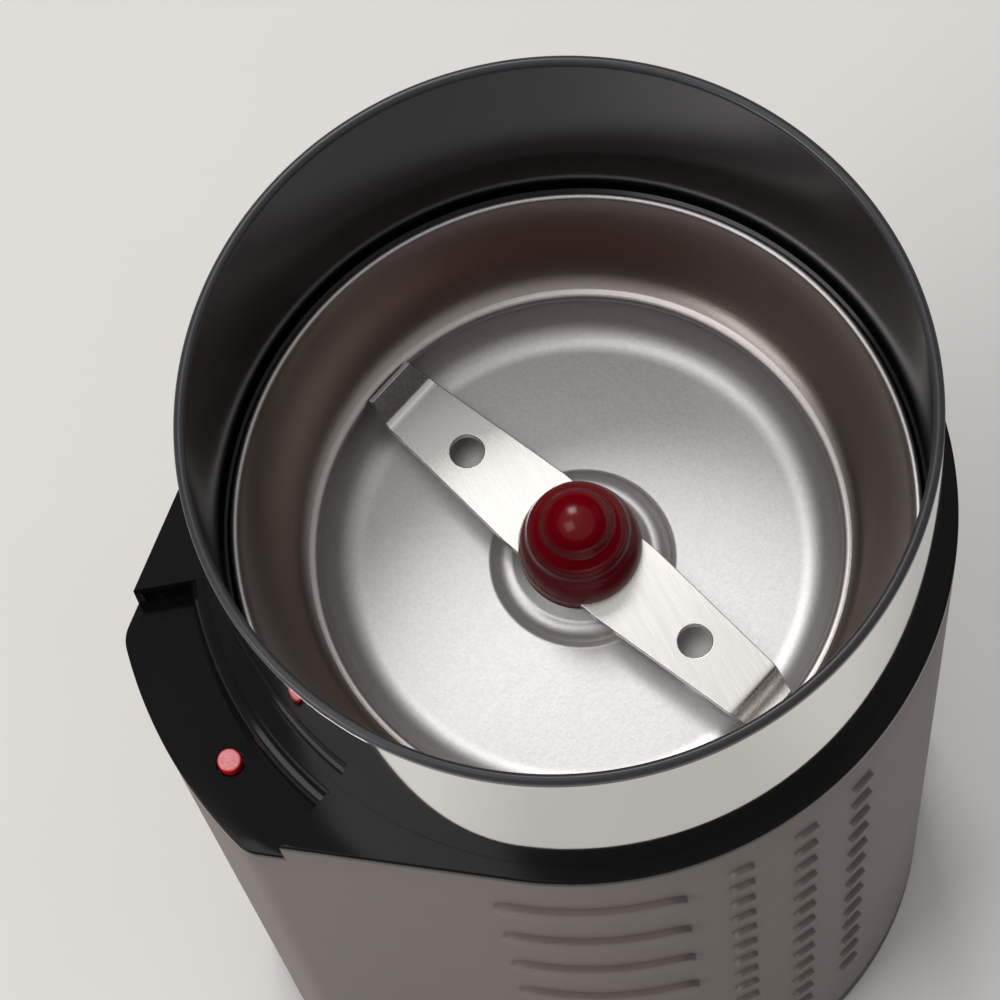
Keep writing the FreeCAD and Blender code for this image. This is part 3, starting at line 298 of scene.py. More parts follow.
def add_piece(name, points, faces, finish, body, replaces=(), crease=35):
    """Puts a surface into a mesh object, closes its seams and poles and turns its faces outwards."""
    mesh = bpy.data.meshes.new(name)
    faces = [face.reshape(-1, face.shape[-1]).tolist() for face in faces]
    mesh.from_pydata((np.reshape(points, (-1, 3)) * MM).tolist(), [], sum(faces, []))
    shell = bmesh.new()
    shell.from_mesh(mesh)
    bmesh.ops.remove_doubles(shell, verts=shell.verts, dist=1e-6)
    bmesh.ops.dissolve_degenerate(shell, edges=shell.edges, dist=1e-7)
    bmesh.ops.recalc_face_normals(shell, faces=shell.faces)
    shell.to_mesh(mesh)
    shell.free()
    mesh.polygons.foreach_set("use_smooth", np.ones(len(mesh.polygons), bool))
    mesh.set_sharp_from_angle(angle=math.radians(crease))
    mesh.materials.append(finish)
    piece = bpy.data.objects.new(name, mesh)
    bpy.context.scene.collection.objects.link(piece)
    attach(piece, body)
    if replaces:
        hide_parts(*replaces)
    return piece


def add_turned(name, profile, finish, body, replaces=(), closed=True, centre=(0, 0), count=192):
    """Solid of revolution from a closed profile, or from one that starts and ends on the axis."""
    grid = turned(profile, count) + np.array([*centre, 0])
    faces = quads(count, len(profile), True, closed)
    return add_piece(name, grid, [faces], finish, body, replaces)


def sizes(context, name):
    """Sizes of a property group, with its lengths in millimetres and its angles in degrees."""
    group = getattr(context.scene, "grinder_" + name)
    unit = {"LENGTH": MM, "ROTATION": math.radians(1), "NONE": 1}
    kinds = {key: group.bl_rna.properties[key].unit for key in group.__annotations__}
    return SimpleNamespace(**{key: getattr(group, key) / unit[kind] for key, kind in kinds.items()})


def pin_centre(pin):
    """Place of the push pin in plan."""
    turn = math.radians(pin.azimuth)
    return pin.place * math.cos(turn), pin.place * math.sin(turn)


# Plan outline of the housing


def housing_radius(azimuth, z, housing, seam_z, inset=0.0):
    """Distance from the axis to the housing at an azimuth in degrees and a height.

    Away from the nose it is the drafted circle. Each flank is a line tangent to that circle at the flank angle,
    so its radius is circle / cos(flank - a). The nose is an arc about the axis, and a small arc, met by the ray
    from the axis, rounds each corner between flank and nose."""
    fall = seam_z - z
    circle = housing.body_r - housing.draft * fall - inset
    nose = housing.nose_r - housing.nose_draft * fall - inset
    corner = max(housing.corner - inset, 0.3)
    flank = math.radians(housing.flank)
    reach = nose - corner
    middle = flank - np.arccos((circle - corner) / reach)
    a = np.radians(np.abs(azimuth % 360 - 180))
    end_x = reach * np.cos(middle) + corner * np.cos(flank)
    end_y = reach * np.sin(middle) + corner * np.sin(flank)
    corner_end = np.arctan2(end_y, end_x)
    bend = a - middle
    inside = np.maximum(corner ** 2 - (reach * np.sin(bend)) ** 2, 0)
    on_corner = reach * np.cos(bend) + np.sqrt(inside)
    on_flank = circle / np.cos(np.clip(flank - a, 0, 1.2))
    radius = np.where(a > flank, circle, on_flank)
    radius = np.where(a < corner_end, on_corner, radius)
    return np.where(a < middle, nose, radius)


def housing_azimuths(half_recess):
    """Azimuths in degrees round the housing, closer together on the nose, doubled at both recess ends."""
    coarse = np.linspace(-120, 120, 161)
    nose = np.linspace(124, 236, 225)
    every = np.concatenate([coarse, nose])
    ends = np.array([180 - half_recess, 180 + half_recess])
    every = every[np.min(np.abs(every[:, None] - ends), axis=1) > 0.12]
    outside = np.concatenate([every, ends])
    inside = (outside > ends[0] - 1e-9) & (outside < ends[1] + 1e-9)
    azimuth = np.concatenate([outside[~inside], ends, outside[inside]])
    recessed = np.concatenate([np.zeros(np.sum(~inside) + 2, bool), np.ones(np.sum(inside), bool)])
    order = np.lexsort((np.where(azimuth < 180, recessed, ~recessed), azimuth))
    return azimuth[order], recessed[order]


def around(azimuth, radius, z):
    """Points at azimuth (degrees), distance from the axis and height."""
    a = np.radians(azimuth)
    return np.stack(np.broadcast_arrays(radius * np.cos(a), radius * np.sin(a), z), axis=-1)


# Materials


def node(tree, kind, inputs=(), links=(), **settings):
    """Adds one shader node: its attributes, the numbers on its sockets, and the outputs that feed its sockets."""
    made = tree.nodes.new("ShaderNode" + kind)
    for key, value in settings.items():
        setattr(made, key, value)
    for key, value in dict(inputs).items():
        made.inputs[key].default_value = value
    for key, source in dict(links).items():
        tree.links.new(source, made.inputs[key])
    return made


def new_finish(name, **constants):
    """Material that holds only a Principled shader, with its constants on the shader's sockets."""
    material = bpy.data.materials.new(name)
    material.use_nodes = True
    tree = material.node_tree
    tree.nodes.clear()
    shader = node(tree, "BsdfPrincipled", constants)
    node(tree, "OutputMaterial", links={"Surface": shader.outputs["BSDF"]})
    return material, tree, shader


def shade(rgb, factor):
    """Colour times a factor, with alpha."""
    return (*(min(1.0, part * factor) for part in rgb), 1)


def grains(tree, *sizes, stretch=(1, 1, 1), turn=0.0):
    """Object coordinates, stretched and turned about Z, and one noise on them for each size.

    A size is the width of a grain in millimetres, the detail and, where it isn't 0.5, the roughness."""
    place = node(tree, "Mapping", {"Scale": stretch, "Rotation": (0, 0, math.radians(turn))},
                 {"Vector": node(tree, "TexCoord").outputs["Object"]}).outputs["Vector"]
    fields = [node(tree, "TexNoise", {"Scale": 1 / (width * MM), "Detail": detail, "Roughness": (*rest, 0.5)[0]},
                   {"Vector": place}).outputs["Fac"] for width, detail, *rest in sizes]
    return place, fields


def dress(tree, shader, value, first, second, rough, height=None, bump=()):
    """Colour and roughness that drift together with one pattern, and a relief from another.

    rough holds the roughness at either end of the drift, and bump the depth in millimetres and its strength."""
    tint = node(tree, "Mix", {"A": first, "B": second}, {"Factor": value}, data_type="RGBA")
    dull = node(tree, "MapRange", {"To Min": rough[0], "To Max": rough[1]}, {"Value": value})
    tree.links.new(tint.outputs["Result"], shader.inputs["Base Color"])
    tree.links.new(dull.outputs["Result"], shader.inputs["Roughness"])
    if bump:
        raised = node(tree, "Bump", {"Distance": bump[0] * MM, "Strength": bump[1]}, {"Height": height})
        tree.links.new(raised.outputs["Normal"], shader.inputs["Normal"])


def grained(name, rgb, shares, rough, *sizes, bump=(), stretch=(1, 1, 1), turn=0.0, **constants):
    """Finish whose colour and roughness drift with the first grain, and whose relief follows the last one.

    shares holds the share of the colour at either end of the drift."""
    material, tree, shader = new_finish(name, **constants)
    _, fields = grains(tree, *sizes, stretch=stretch, turn=turn)
    dress(tree, shader, fields[0], shade(rgb, shares[0]), shade(rgb, shares[1]), rough, fields[-1], bump)
    return material


def soft_touch_elastomer(rgb):
    # Thermoplastic elastomer moulded in a spark-eroded cavity: a dull even tone, a fine grain, faint handling marks
    return grained("soft_touch_elastomer", rgb, (0.94, 1.06), (0.52, 0.62), (9.0, 3.0), (0.35, 2.0),
                   bump=(0.02, 0.5), **{"Specular IOR Level": 0.45})


def gloss_abs(rgb, level, name="moulded_gloss_abs"):
    # High-gloss ABS from a polished cavity: near-black with sharp reflections, broken by hairline wipe marks
    return grained(name, rgb, (1.0, 1.3), (0.09, 0.14), (14.0, 2.0), (6.0, 1.0), bump=(0.01, 0.3),
                   **{"IOR": 1.5, "Specular IOR Level": level})


def satin_abs(rgb):
    # ABS with a fine satin finish on the rim, where the lid slides: broad soft highlight with faint rub marks
    return grained("satin_moulded_abs", rgb, (0.85, 1.15), (0.26, 0.36), (2.0, 3.0), (0.4, 2.0), bump=(0.01, 0.4),
                   **{"IOR": 1.5, "Specular IOR Level": 0.35})


def bead_blasted_steel(rgb, wall_painted_shade_rgb, wall_r, rim_r):
    # Stainless steel blasted with fine glass beads: satin floor with a visible pale grain. The drawn wall is
    # smoother, and painted shade colours it darker and browner than the floor, for the black collar reflected in
    # it, but not the bead at its rim
    material, tree, shader = new_finish("bead_blasted_stainless", Metallic=1.0)
    place, (speck,) = grains(tree, (0.4, 3.0, 0.75))
    flat = node(tree, "Mapping", {"Scale": (1, 1, 0)}, {"Vector": place})
    from_axis = node(tree, "VectorMath", links={"Vector": flat.outputs["Vector"]}, operation="LENGTH")
    past_step, on_bead = (
        node(tree, "MapRange", {"From Min": start * MM, "From Max": stop * MM},
             {"Value": from_axis.outputs["Value"]}).outputs["Result"]
        for start, stop in ((wall_r - 1, wall_r + 2), (rim_r, rim_r + 0.3)))
    on_wall = node(tree, "Math", links={0: past_step, 1: on_bead}, operation="SUBTRACT").outputs["Value"]
    # The wall colour is painted shade: darker and browner than the floor, kept off the bead
    floor, wall = (
        node(tree, "Mix", {"A": shade(tone, low), "B": shade(tone, high)}, {"Factor": speck},
             data_type="RGBA").outputs["Result"]
        for tone, low, high in ((rgb, 0.78, 1.12), (wall_painted_shade_rgb, 0.9, 1.05)))
    mixed = node(tree, "Mix", links={"Factor": on_wall, "A": floor, "B": wall}, data_type="RGBA")
    dull = node(tree, "MapRange", {"To Min": 0.46, "To Max": 0.3}, {"Value": on_wall})
    raised = node(tree, "Bump", {"Distance": 0.03 * MM, "Strength": 0.55}, {"Height": speck})
    tree.links.new(mixed.outputs["Result"], shader.inputs["Base Color"])
    tree.links.new(dull.outputs["Result"], shader.inputs["Roughness"])
    tree.links.new(raised.outputs["Normal"], shader.inputs["Normal"])
    return material


def mirror_steel(rgb):
    # Stainless sleeve buffed to a mirror: clean reflections that a faint vertical ripple bends a little
    return grained("mirror_polished_stainless", rgb, (0.97, 1.0), (0.03, 0.07), (10.0, 2.0), (12.0, 1.0),
                   bump=(0.02, 0.25), stretch=(1, 1, 0.2), Metallic=1.0)


def ground_steel(rgb, turn):
    # Stainless strip ground on a belt: fine straight scratches across the blade and a bright metallic lustre
    return grained("belt_ground_stainless", rgb, (0.9, 1.02), (0.22, 0.31), (0.28, 3.0, 0.65), bump=(0.006, 0.5),
                   stretch=(1, 0.04, 1), turn=turn, Metallic=1.0)


def deep_red_abs(rgb):
    # Dense red ABS, polished: dark saturated body under a clear sharp highlight
    return grained("polished_red_abs", rgb, (1.0, 1.25), (0.14, 0.2), (3.0, 2.0), (2.0, 1.0), bump=(0.006, 0.3),
                   **{"IOR": 1.5, "Specular IOR Level": 0.22})


def red_acetal(rgb, top_highlight_rgb, top_z):
    # Turned acetal: waxy red with a little light let in under the skin. The top is painted paler in fine dots:
    # a painted highlight for the light that falls on its flat top
    material, tree, shader = new_finish("red_acetal", **{
        "IOR": 1.48, "Subsurface Weight": 0.15, "Subsurface Radius": (1.0, 0.3, 0.25), "Subsurface Scale": 0.4 * MM})
    place, (speck,) = grains(tree, (0.3, 3.0, 0.7))
    height = node(tree, "SeparateXYZ", links={"Vector": place}).outputs["Z"]
    on_top = node(tree, "MapRange", {"From Min": (top_z - 0.16) * MM, "From Max": (top_z - 0.04) * MM},
                  {"Value": height})
    dots = node(tree, "MapRange", {"From Min": 0.35, "From Max": 0.6, "To Min": 0.55}, {"Value": speck})
    painted_highlight = node(tree, "Math", links={0: on_top.outputs["Result"], 1: dots.outputs["Result"]}, operation="MULTIPLY")
    dress(tree, shader, painted_highlight.outputs["Value"], shade(rgb, 1), shade(top_highlight_rgb, 1), (0.28, 0.45))
    return material


def plain_moulding(name, code, low, high, grain_mm=0.5, spot=0.07):
    """Moulded or pressed plastic and rubber: an even colour with a fine grain."""
    return grained(name, linear(code), (1 - spot, 1 + spot), (low, high), (4.0, 3.0), (grain_mm, 2.0),
                   bump=(0.02, 0.5), IOR=1.5)


def plain_metal(name, code, low, high, grain_mm=0.5, stretch=(1, 1, 1), depth=0.02):
    """Metal with a grain that a stretch can draw out into lines."""
    return grained(name, linear(code), (0.85, 1.05), (low, high), (grain_mm, 3.0), bump=(depth, 0.6),
                   stretch=stretch, Metallic=1.0)


def inner_finishes():
    """Finishes of the pieces inside the housing, by the record's slot."""
    return {
        # Carbon-black PBT, fine spark-eroded texture, dull sheen
        "black_plastic": plain_moulding("moulded_black_pbt", "#1C1B1D", 0.45, 0.55),
        # Nitrile rubber, matt with a slight bloom
        "black_rubber": plain_moulding("moulded_nitrile_rubber", "#1A1A1A", 0.7, 0.82, 0.3, 0.12),
        # Grey silicone and fibre washers, dry and matt
        "seal_rubber": plain_moulding("moulded_grey_silicone", "#58595B", 0.55, 0.7, 0.3),
        # Glass-filled nylon, creamy with flow marks
        "inner_plastic": plain_moulding("glass_filled_nylon", "#D8D2C4", 0.4, 0.55, 0.6, 0.05),
        # Natural polyamide of terminals and plunger
        "pale_plastic": plain_moulding("natural_polyamide", "#E6E1D6", 0.35, 0.45, 0.6, 0.04),
        # Polyester film capacitor case, smooth and lightly glossy
        "yellow_plastic": plain_moulding("polyester_capacitor_case", "#D9A62B", 0.2, 0.3, 0.8, 0.05),
        # Zinc-plated steel, pale with faint blue-grey clouds
        "zinc_steel": plain_metal("zinc_plated_steel", "#BFC3C6", 0.25, 0.4, 0.8),
        # Stacked electrical sheet: dark edges that run level round the pack
        "lamination_steel": plain_metal("stacked_lamination_sheet", "#6E6F72", 0.35, 0.55, 0.5, (0.02, 0.02, 1), 0.05),
        # Die-cast aluminium, grey with a soft orange-peel skin
        "cast_aluminium": plain_metal("die_cast_aluminium", "#B4B6B8", 0.4, 0.55, 0.9, (1, 1, 1), 0.04),
        # Oil-filled sintered bronze and brass sheet, porous
        "bronze": plain_metal("sintered_bronze", "#B08A4A", 0.35, 0.5, 0.35),
        # Enamelled copper wire laid round the pole: amber lines
        "copper_wire": plain_metal("enamelled_copper_wire", "#A4541F", 0.22, 0.38, 0.45, (1, 0.05, 1), 0.08),
        # Bare hard-drawn copper, turned bright
        "copper_bar": plain_metal("turned_copper", "#C98A66", 0.2, 0.32, 0.3, (1, 1, 0.1)),
        # Pressed carbon, dull grey-black
        "carbon": plain_moulding("pressed_carbon", "#26262A", 0.45, 0.6, 0.2, 0.15),
    }


# Pieces


def collar_profile(c, housing):
    """Closed profile of the upper ring: bore, round rim, rebate for the steel band and hidden sleeve."""
    bore = c.outer_r - c.wall
    rebate = c.outer_r - c.band_wall
    crown = c.outer_r - c.wall / 2
    seam_z = c.ledge_z - c.band_height
    inner_wall = housing.body_r - 2.65
    foot_wall = inner_wall - housing.draft * (seam_z - c.sleeve_z)
    return trace(
        (bore, c.seat_z), (bore, c.rim_z - 0.5),
        ((bore + 0.18, c.rim_z - 0.15), (crown, c.rim_z)),
        ((c.outer_r - 0.18, c.rim_z - 0.15), (c.outer_r, c.rim_z - 0.5)),
        (c.outer_r, c.rim_z - c.band_drop), (rebate, c.rim_z - c.band_drop), (rebate, seam_z + 0.2),
        (inner_wall, seam_z), (foot_wall, c.sleeve_z), (c.seat_r, c.sleeve_z), (c.seat_r, c.seat_z))


def ledge_rows(c, outer, recessed, pin):
    """Radii and heights of the ledge at each azimuth, from the collar out to the edge and back underneath.

    On the ledge the height is constant. In the recess it falls along the curved lip to the pad. Both have
    their points at the same radii, so the upright ends of the recess close by themselves."""
    pad_z = c.ledge_z - c.recess_depth
    seam_z = c.ledge_z - c.band_height
    under_pad = pad_z - c.band_height
    inner = c.outer_r - c.band_wall + 0.05
    lip = trace((inner, c.ledge_z), (c.lip_top_r, c.ledge_z),
                ((c.lip_r - 0.9, c.ledge_z - 0.7), (c.lip_r - 0.25, c.ledge_z - 2.2)), (c.lip_r, pad_z))
    window = pin.place + np.linspace(-WINDOW_DEPTH, WINDOW_DEPTH, 9)
    edge_in = c.edge * ROUND
    edge_down = edge_in[::-1]
    share = np.concatenate([lip[:, 0], window])
    limit = outer[:, None] - c.edge
    radius = np.minimum(share[None, :], limit - 0.02 * np.arange(len(share))[::-1])
    radius = np.concatenate([radius, outer[:, None] - edge_in], axis=1)
    pad = np.concatenate([lip[:, 1], np.full(len(window), pad_z), pad_z - edge_down])
    flat = np.concatenate([np.full(len(share), c.ledge_z), c.ledge_z - edge_down])
    top = np.where(recessed[:, None], pad, flat)
    low = np.where(recessed[:, None], np.minimum(under_pad, pad - 0.6), seam_z)
    radii = np.concatenate([radius, radius[:, ::-1]], axis=1)
    heights = np.concatenate([top, low[:, ::-1]], axis=1)
    return radii, heights, len(lip)


def pierce(grid, faces, column, row, centre, radius, back_row):
    """Cuts a round hole through two facing windows of 8 by 8 quads.

    Rings of points blend from the border of each window to the circle, and a band joins the two circles."""
    columns, rows = grid.shape[:2]
    hidden = np.zeros((columns, rows), bool)
    hidden[column:column + 8, row:row + 8] = True
    hidden[column:column + 8, back_row:back_row + 8] = True
    kept = faces[:columns, :][~hidden]
    side = np.arange(8)
    loop_i = np.concatenate([side, np.full(8, 8), 8 - side, np.zeros(8, int)])
    loop_j = np.concatenate([np.zeros(8, int), side, np.full(8, 8), 8 - side])
    start = columns * rows
    points, joined, circles = [], [], []
    for first_row, flip in ((row, False), (back_row, True)):
        j = first_row + (8 - loop_j if flip else loop_j)
        border = (column + loop_i) * rows + j
        rim = grid.reshape(-1, 3)[border]
        way = rim[:, :2] - centre
        circle = np.column_stack([centre + radius * way / np.linalg.norm(way, axis=1)[:, None], rim[:, 2]])
        rings = [rim + (circle - rim) * share for share in (0.5, 0.85, 1.0)]
        numbers = np.concatenate([border[None], start + np.arange(96).reshape(3, 32)])
        start += 96
        points += rings
        joined.append(ring_quads(numbers))
        circles.append(numbers[-1])
    joined.append(ring_quads(np.stack(circles)))
    every = np.concatenate([grid.reshape(-1, 3)] + points)
    return every, [kept] + joined


def ring_quads(numbers):
    """Quads between rings of points given by their numbers, one ring per row."""
    after = np.roll(numbers, -1, axis=1)
    return np.stack([numbers[:-1], numbers[1:], after[1:], after[:-1]], axis=-1)


def ledge_surface(c, housing, pin):
    """Ledge, nose, recess and pad in one closed surface, with the hole for the pin."""
    seam_z = c.ledge_z - c.band_height
    window = pin.azimuth + np.linspace(-WINDOW_ANGLE, WINDOW_ANGLE, 9)
    azimuth, recessed = housing_azimuths(c.recess_half)
    clear = np.abs(azimuth - pin.azimuth) > WINDOW_ANGLE + 0.1
    azimuth = np.concatenate([azimuth[clear], window])
    recessed = np.concatenate([recessed[clear], np.ones(9, bool)])
    order = np.lexsort((np.where(azimuth < 180, recessed, ~recessed), azimuth))
    azimuth, recessed = azimuth[order], recessed[order]
    outer = housing_radius(azimuth, seam_z, housing, seam_z)
    radii, heights, lip_points = ledge_rows(c, outer, recessed, pin)
    grid = around(azimuth[:, None], radii, heights)
    columns, rows = grid.shape[:2]
    faces = quads(columns, rows, True, True)
    column = int(np.argmin(np.abs(azimuth - window[0])))
    back_row = rows - 1 - lip_points - 8
    return pierce(grid, faces, column, lip_points, np.array(pin_centre(pin)), pin.hole, back_row)


def sleeve_surface(c, housing):
    """Soft sleeve: outer face, rounded upper edge and inner face, with the notch under the pad."""
    seam_z = c.ledge_z - c.band_height
    notch_z = c.ledge_z - c.recess_depth - c.band_height
    azimuth, recessed = housing_azimuths(c.recess_half)
    top = np.where(recessed, notch_z, seam_z)[:, None]
    e = housing.edge
    climb = np.linspace(0, 1, 13)
    outside = housing.foot_z + 0.4 + (top - e - housing.foot_z - 0.4) * climb
    drop = e * ROUND[1:]
    depth = e * ROUND[-2::-1]
    inside = outside[:, ::-4]
    foot = np.full((len(azimuth), 2), housing.foot_z)
    heights = np.concatenate([outside, top - drop, top + 0 * drop[:1], inside[:, 1:], foot], axis=1)
    insets = np.concatenate([np.zeros(13), depth, [housing.skin], np.full(inside.shape[1] - 1, housing.skin),
                             [housing.skin, 0.4]])
    radius = housing_radius(azimuth[:, None], heights, housing, seam_z) - insets
    grid = around(azimuth[:, None], radius, heights)
    return grid, quads(*grid.shape[:2], True, True)


def pills(azimuths, heights, half_length, radius, proud, housing, seam_z, arc=10):
    """Low pills that follow the round body: stadium rings that rise from a sunk foot and close on the crown.

    A ring is two half circles joined by straight runs. Its points keep their order while it shrinks, so the
    crown and the foot close as a ladder between the two long sides."""
    turn = np.linspace(-np.pi / 2, np.pi / 2, arc)
    run = np.linspace(1, -1, 9)[1:-1]
    unit_x = np.concatenate([np.cos(turn), 0 * run, -np.cos(turn), 0 * run])
    unit_y = np.concatenate([np.sin(turn), 0 * run + 1, -np.sin(turn), 0 * run - 1])
    base_x = half_length * np.concatenate([np.ones(arc), run, -np.ones(arc), -run])
    shrink = np.array([0.35, 0.0, 0.0, 0.1, 0.3, 0.6])
    lift = np.array([-0.3, -0.3, 0.6, 0.86, 0.97, 1.0])
    lift = np.where(lift < 0, lift, lift * proud)
    reach = (radius - shrink * min(radius, 0.8))[:, None]
    x = base_x + unit_x * reach
    y = unit_y * reach
    azimuths, heights = np.asarray(azimuths)[:, None, None], np.asarray(heights)[:, None, None]
    z = heights + y
    surface = housing.body_r - housing.draft * (seam_z - z)
    grid = around(azimuths + np.degrees(x / surface), surface + lift[:, None], z)
    count, rings, around_count = grid.shape[:3]
    numbers = np.arange(count * rings * around_count).reshape(count, rings, around_count)
    sides = np.concatenate([ring_quads(pill).reshape(-1, 4) for pill in numbers])
    near = np.arange(around_count // 2 - 1)
    ends = []
    for ring in (numbers[:, 0], numbers[:, -1]):
        far = np.roll(ring, -(arc // 2), axis=1)
        ends.append(np.stack([far[:, near], far[:, near + 1], far[:, -near - 2], far[:, -near - 1]], axis=-1))
    return grid, [sides] + ends


def bowl_profile(b):
    """Closed profile of the pressed bowl, from the hole of the boss out to the bead and back underneath."""
    shelf_z, boss_z = b.floor_z + b.shelf, b.floor_z + b.boss
    low = b.floor_z - b.sheet
    rim, bead = b.rim_r, b.bead_z
    curl = b.bead_r * math.sqrt(0.5)
    foot = b.step_r - b.step_round
    wall_x, wall_z = rim - b.shelf_r, bead - shelf_z
    slant = math.hypot(wall_x, wall_z)
    belly = (b.shelf_r + wall_x / 2 + b.belly * wall_z / slant, shelf_z + wall_z / 2 - b.belly * wall_x / slant)
    return trace(
        (b.hole_r, boss_z - b.sheet), (b.hole_r, boss_z - 0.1), (b.hole_r + 0.1, boss_z), (b.boss_top_r, boss_z),
        ((b.boss_top_r + 0.5, boss_z - 0.03), (b.boss_top_r + 1.0, boss_z - 0.13)),
        (b.boss_foot_r - 2.6, b.floor_z + b.boss_step + 0.25),
        ((b.boss_foot_r - 1.25, b.floor_z + b.boss_step - 0.05), (b.boss_foot_r - 0.5, b.floor_z + 0.45)),
        ((b.boss_foot_r - 0.25, b.floor_z + 0.12), (b.boss_foot_r + 0.2, b.floor_z)),
        (foot, b.floor_z),
        ((foot + 0.707 * b.step_round, b.floor_z + 0.293 * b.step_round), (b.step_r, b.floor_z + b.step_round)),
        ((b.step_r + 0.22, shelf_z - 0.35), (b.step_r + 0.75, shelf_z - 0.1)), (b.shelf_r, shelf_z),
        (belly, (rim, bead)),
        ((rim + b.bead_r, bead + b.bead_r), (rim + 2 * b.bead_r, bead)),
        ((rim + b.bead_r + curl, bead - curl), (rim + 0.6, bead - b.bead_r)),
        ((rim - 0.72, bead - 6.4), (rim - 5.0, shelf_z + 0.35 - b.sheet)),
        (b.step_r + 1.2, shelf_z - b.sheet - 0.3), (b.step_r + 1.0, b.floor_z + 1.7), (b.step_r - 1.5, low),
        (b.boss_foot_r - 1.5, low), (b.boss_foot_r - 2.2, low + b.boss_step - 0.2),
        (b.hole_r, boss_z - b.sheet))[:-1]


def blade_plan(b, across=12):
    """Flat plan of the blade as patches of points (s, t): s along the blade and t its share of the half width.

    Plain patches are even grids. A window round each hole has rings of points that blend from its border to
    the circle, whose share of the half width is its distance across divided by that half width."""
    t = np.linspace(-1, 1, across + 1)
    tip = b.bend_x + b.tip
    window = 3.2
    stops = [-tip, -b.bend_x, -b.hole_x - window, -b.hole_x + window, b.hole_x - window, b.hole_x + window,
             b.bend_x, tip]
    counts = [8, 6, 0, 24, 0, 6, 8]
    points, faces, start = [], [], 0
    for first, last, count in zip(stops, stops[1:], counts):
        if count:
            s = np.linspace(first, last, count + 1)
            if first < 0 < last:
                s = np.sort(np.concatenate([s, [-b.root_x, b.root_x]]))
            for bend in (-b.bend_x, b.bend_x):
                close = bend + b.bend * np.linspace(-0.5, 0.5, 7)
                s = np.unique(np.concatenate([s, close[(close > first) & (close < last)]]).round(6))
            patch = np.stack(np.meshgrid(s, t, indexing="ij"), axis=-1)
            shape = patch.shape[:2]
            patch_faces = quads(*shape, False, False)
        else:
            middle = (first + last) / 2
            side = np.linspace(-1, 1, across + 1)[:-1]
            s = np.concatenate([side, np.ones(across), -side, -np.ones(across)]) * window + middle
            edge_t = np.concatenate([-np.ones(across), side, np.ones(across), -side])
            way = np.column_stack([s - middle, edge_t * half_width(b, s)])
            circle = b.hole_r * way / np.linalg.norm(way, axis=1)[:, None]
            share = np.array([0, 0.4, 0.75, 1.0])[:, None]
            ring_s = s + (circle[:, 0] + middle - s) * share
            ring_y = way[:, 1] + (circle[:, 1] - way[:, 1]) * share
            patch = np.stack([ring_s, ring_y / half_width(b, ring_s)], axis=-1)
            patch_faces = ring_quads(np.arange(patch[..., 0].size).reshape(patch.shape[:2]))
        points.append(patch.reshape(-1, 2))
        faces.append(patch_faces.reshape(-1, 4) + start)
        start += len(points[-1])
    return np.concatenate(points), np.concatenate(faces)


def half_width(b, s):
    """Half width of the blade: constant at the hub, then two straight tapers to the tip."""
    return np.interp(np.abs(s), [b.root_x, b.bend_x, b.bend_x + b.tip], [b.root_half, b.bend_half, b.tip_half])


def blade_side(b, s, below):
    """Distance along the blade and height of its upper or lower face.

    The slope grows evenly from flat to the bend angle over a short bend, one side up and the other down. The
    middle line is the running sum of the cosine and the sine of that slope, and the lower face lies one
    thickness along its normal."""
    path = np.linspace(0, b.bend_x + b.tip, 2000)
    share = np.clip((path - b.bend_x + b.bend / 2) / b.bend, 0, 1)
    step = path[1] - path[0]
    t = b.thickness if below else 0.0
    x, z = np.zeros(s.shape), np.zeros(s.shape)
    for side, turn in ((1, b.up), (-1, -b.down)):
        slope = share * math.radians(turn)
        reach = np.cumsum(np.cos(slope)) * step + t * np.sin(slope)
        rise = np.cumsum(np.sin(slope)) * step - t * np.cos(slope)
        here = s * side >= 0
        x[here] = side * np.interp(np.abs(s[here]), path, reach)
        z[here] = np.interp(np.abs(s[here]), path, rise)
    return x, z + b.top_z


def blade_surface(b):
    """Upper and lower face of the blade with walls along its border and round its holes."""
    plan, faces = blade_plan(b)
    s, y = plan[:, 0], plan[:, 1] * half_width(b, plan[:, 0])
    sides = []
    for below in (False, True):
        x, z = blade_side(b, s, below)
        sides.append(np.column_stack([x, y, z]))
    count = len(plan)
    keys = np.unique(np.round(plan, 5), axis=0, return_inverse=True)[1].reshape(-1)
    edges = np.stack([faces, np.roll(faces, -1, axis=1)], axis=-1).reshape(-1, 2)
    named = np.sort(keys[edges], axis=1)
    _, place, times = np.unique(named, axis=0, return_index=True, return_counts=True)
    border = edges[place[times == 1]]
    walls = np.stack([border[:, 0], border[:, 1], border[:, 1] + count, border[:, 0] + count], axis=-1)
    turn = math.radians(b.azimuth)
    matrix = np.array([[math.cos(turn), -math.sin(turn), 0], [math.sin(turn), math.cos(turn), 0], [0, 0, 1]])
    return np.concatenate(sides) @ matrix.T, [faces, faces[:, ::-1] + count, walls]


def hub_profile(h):
    """Profile of the hub from its foot up over skirt, shoulder and dome, both ends on the axis.

    The dome is a quarter ellipse: r = dome radius * cos t, z = shoulder + (top - shoulder) * sin t."""
    skirt, ring = h.foot_z + h.skirt, h.foot_z + h.ring
    below = trace(
        (0, h.foot_z), (h.skirt_r - 0.3, h.foot_z),
        ((h.skirt_r - 0.08, h.foot_z + 0.08), (h.skirt_r, h.foot_z + 0.4)),
        ((h.skirt_r - 0.1, skirt - 1.8), (h.skirt_r - 0.6, skirt)),
        ((h.ring_r + 0.48, skirt + 0.7), (h.ring_r + 0.3, skirt + 1.4)),
        ((h.ring_r - 0.02, ring - 1.2), (h.ring_r - 0.9, ring - 0.15)),
        ((h.dome_r + 0.3, ring), (h.dome_r - 0.02, ring + 0.4)))
    t = np.linspace(math.asin(0.4 / (h.top_z - ring)), math.pi / 2, 17)[1:]
    dome = np.column_stack([h.dome_r * np.cos(t), ring + (h.top_z - ring) * np.sin(t)])
    dome[-1, 0] = 0
    return np.concatenate([below, dome])


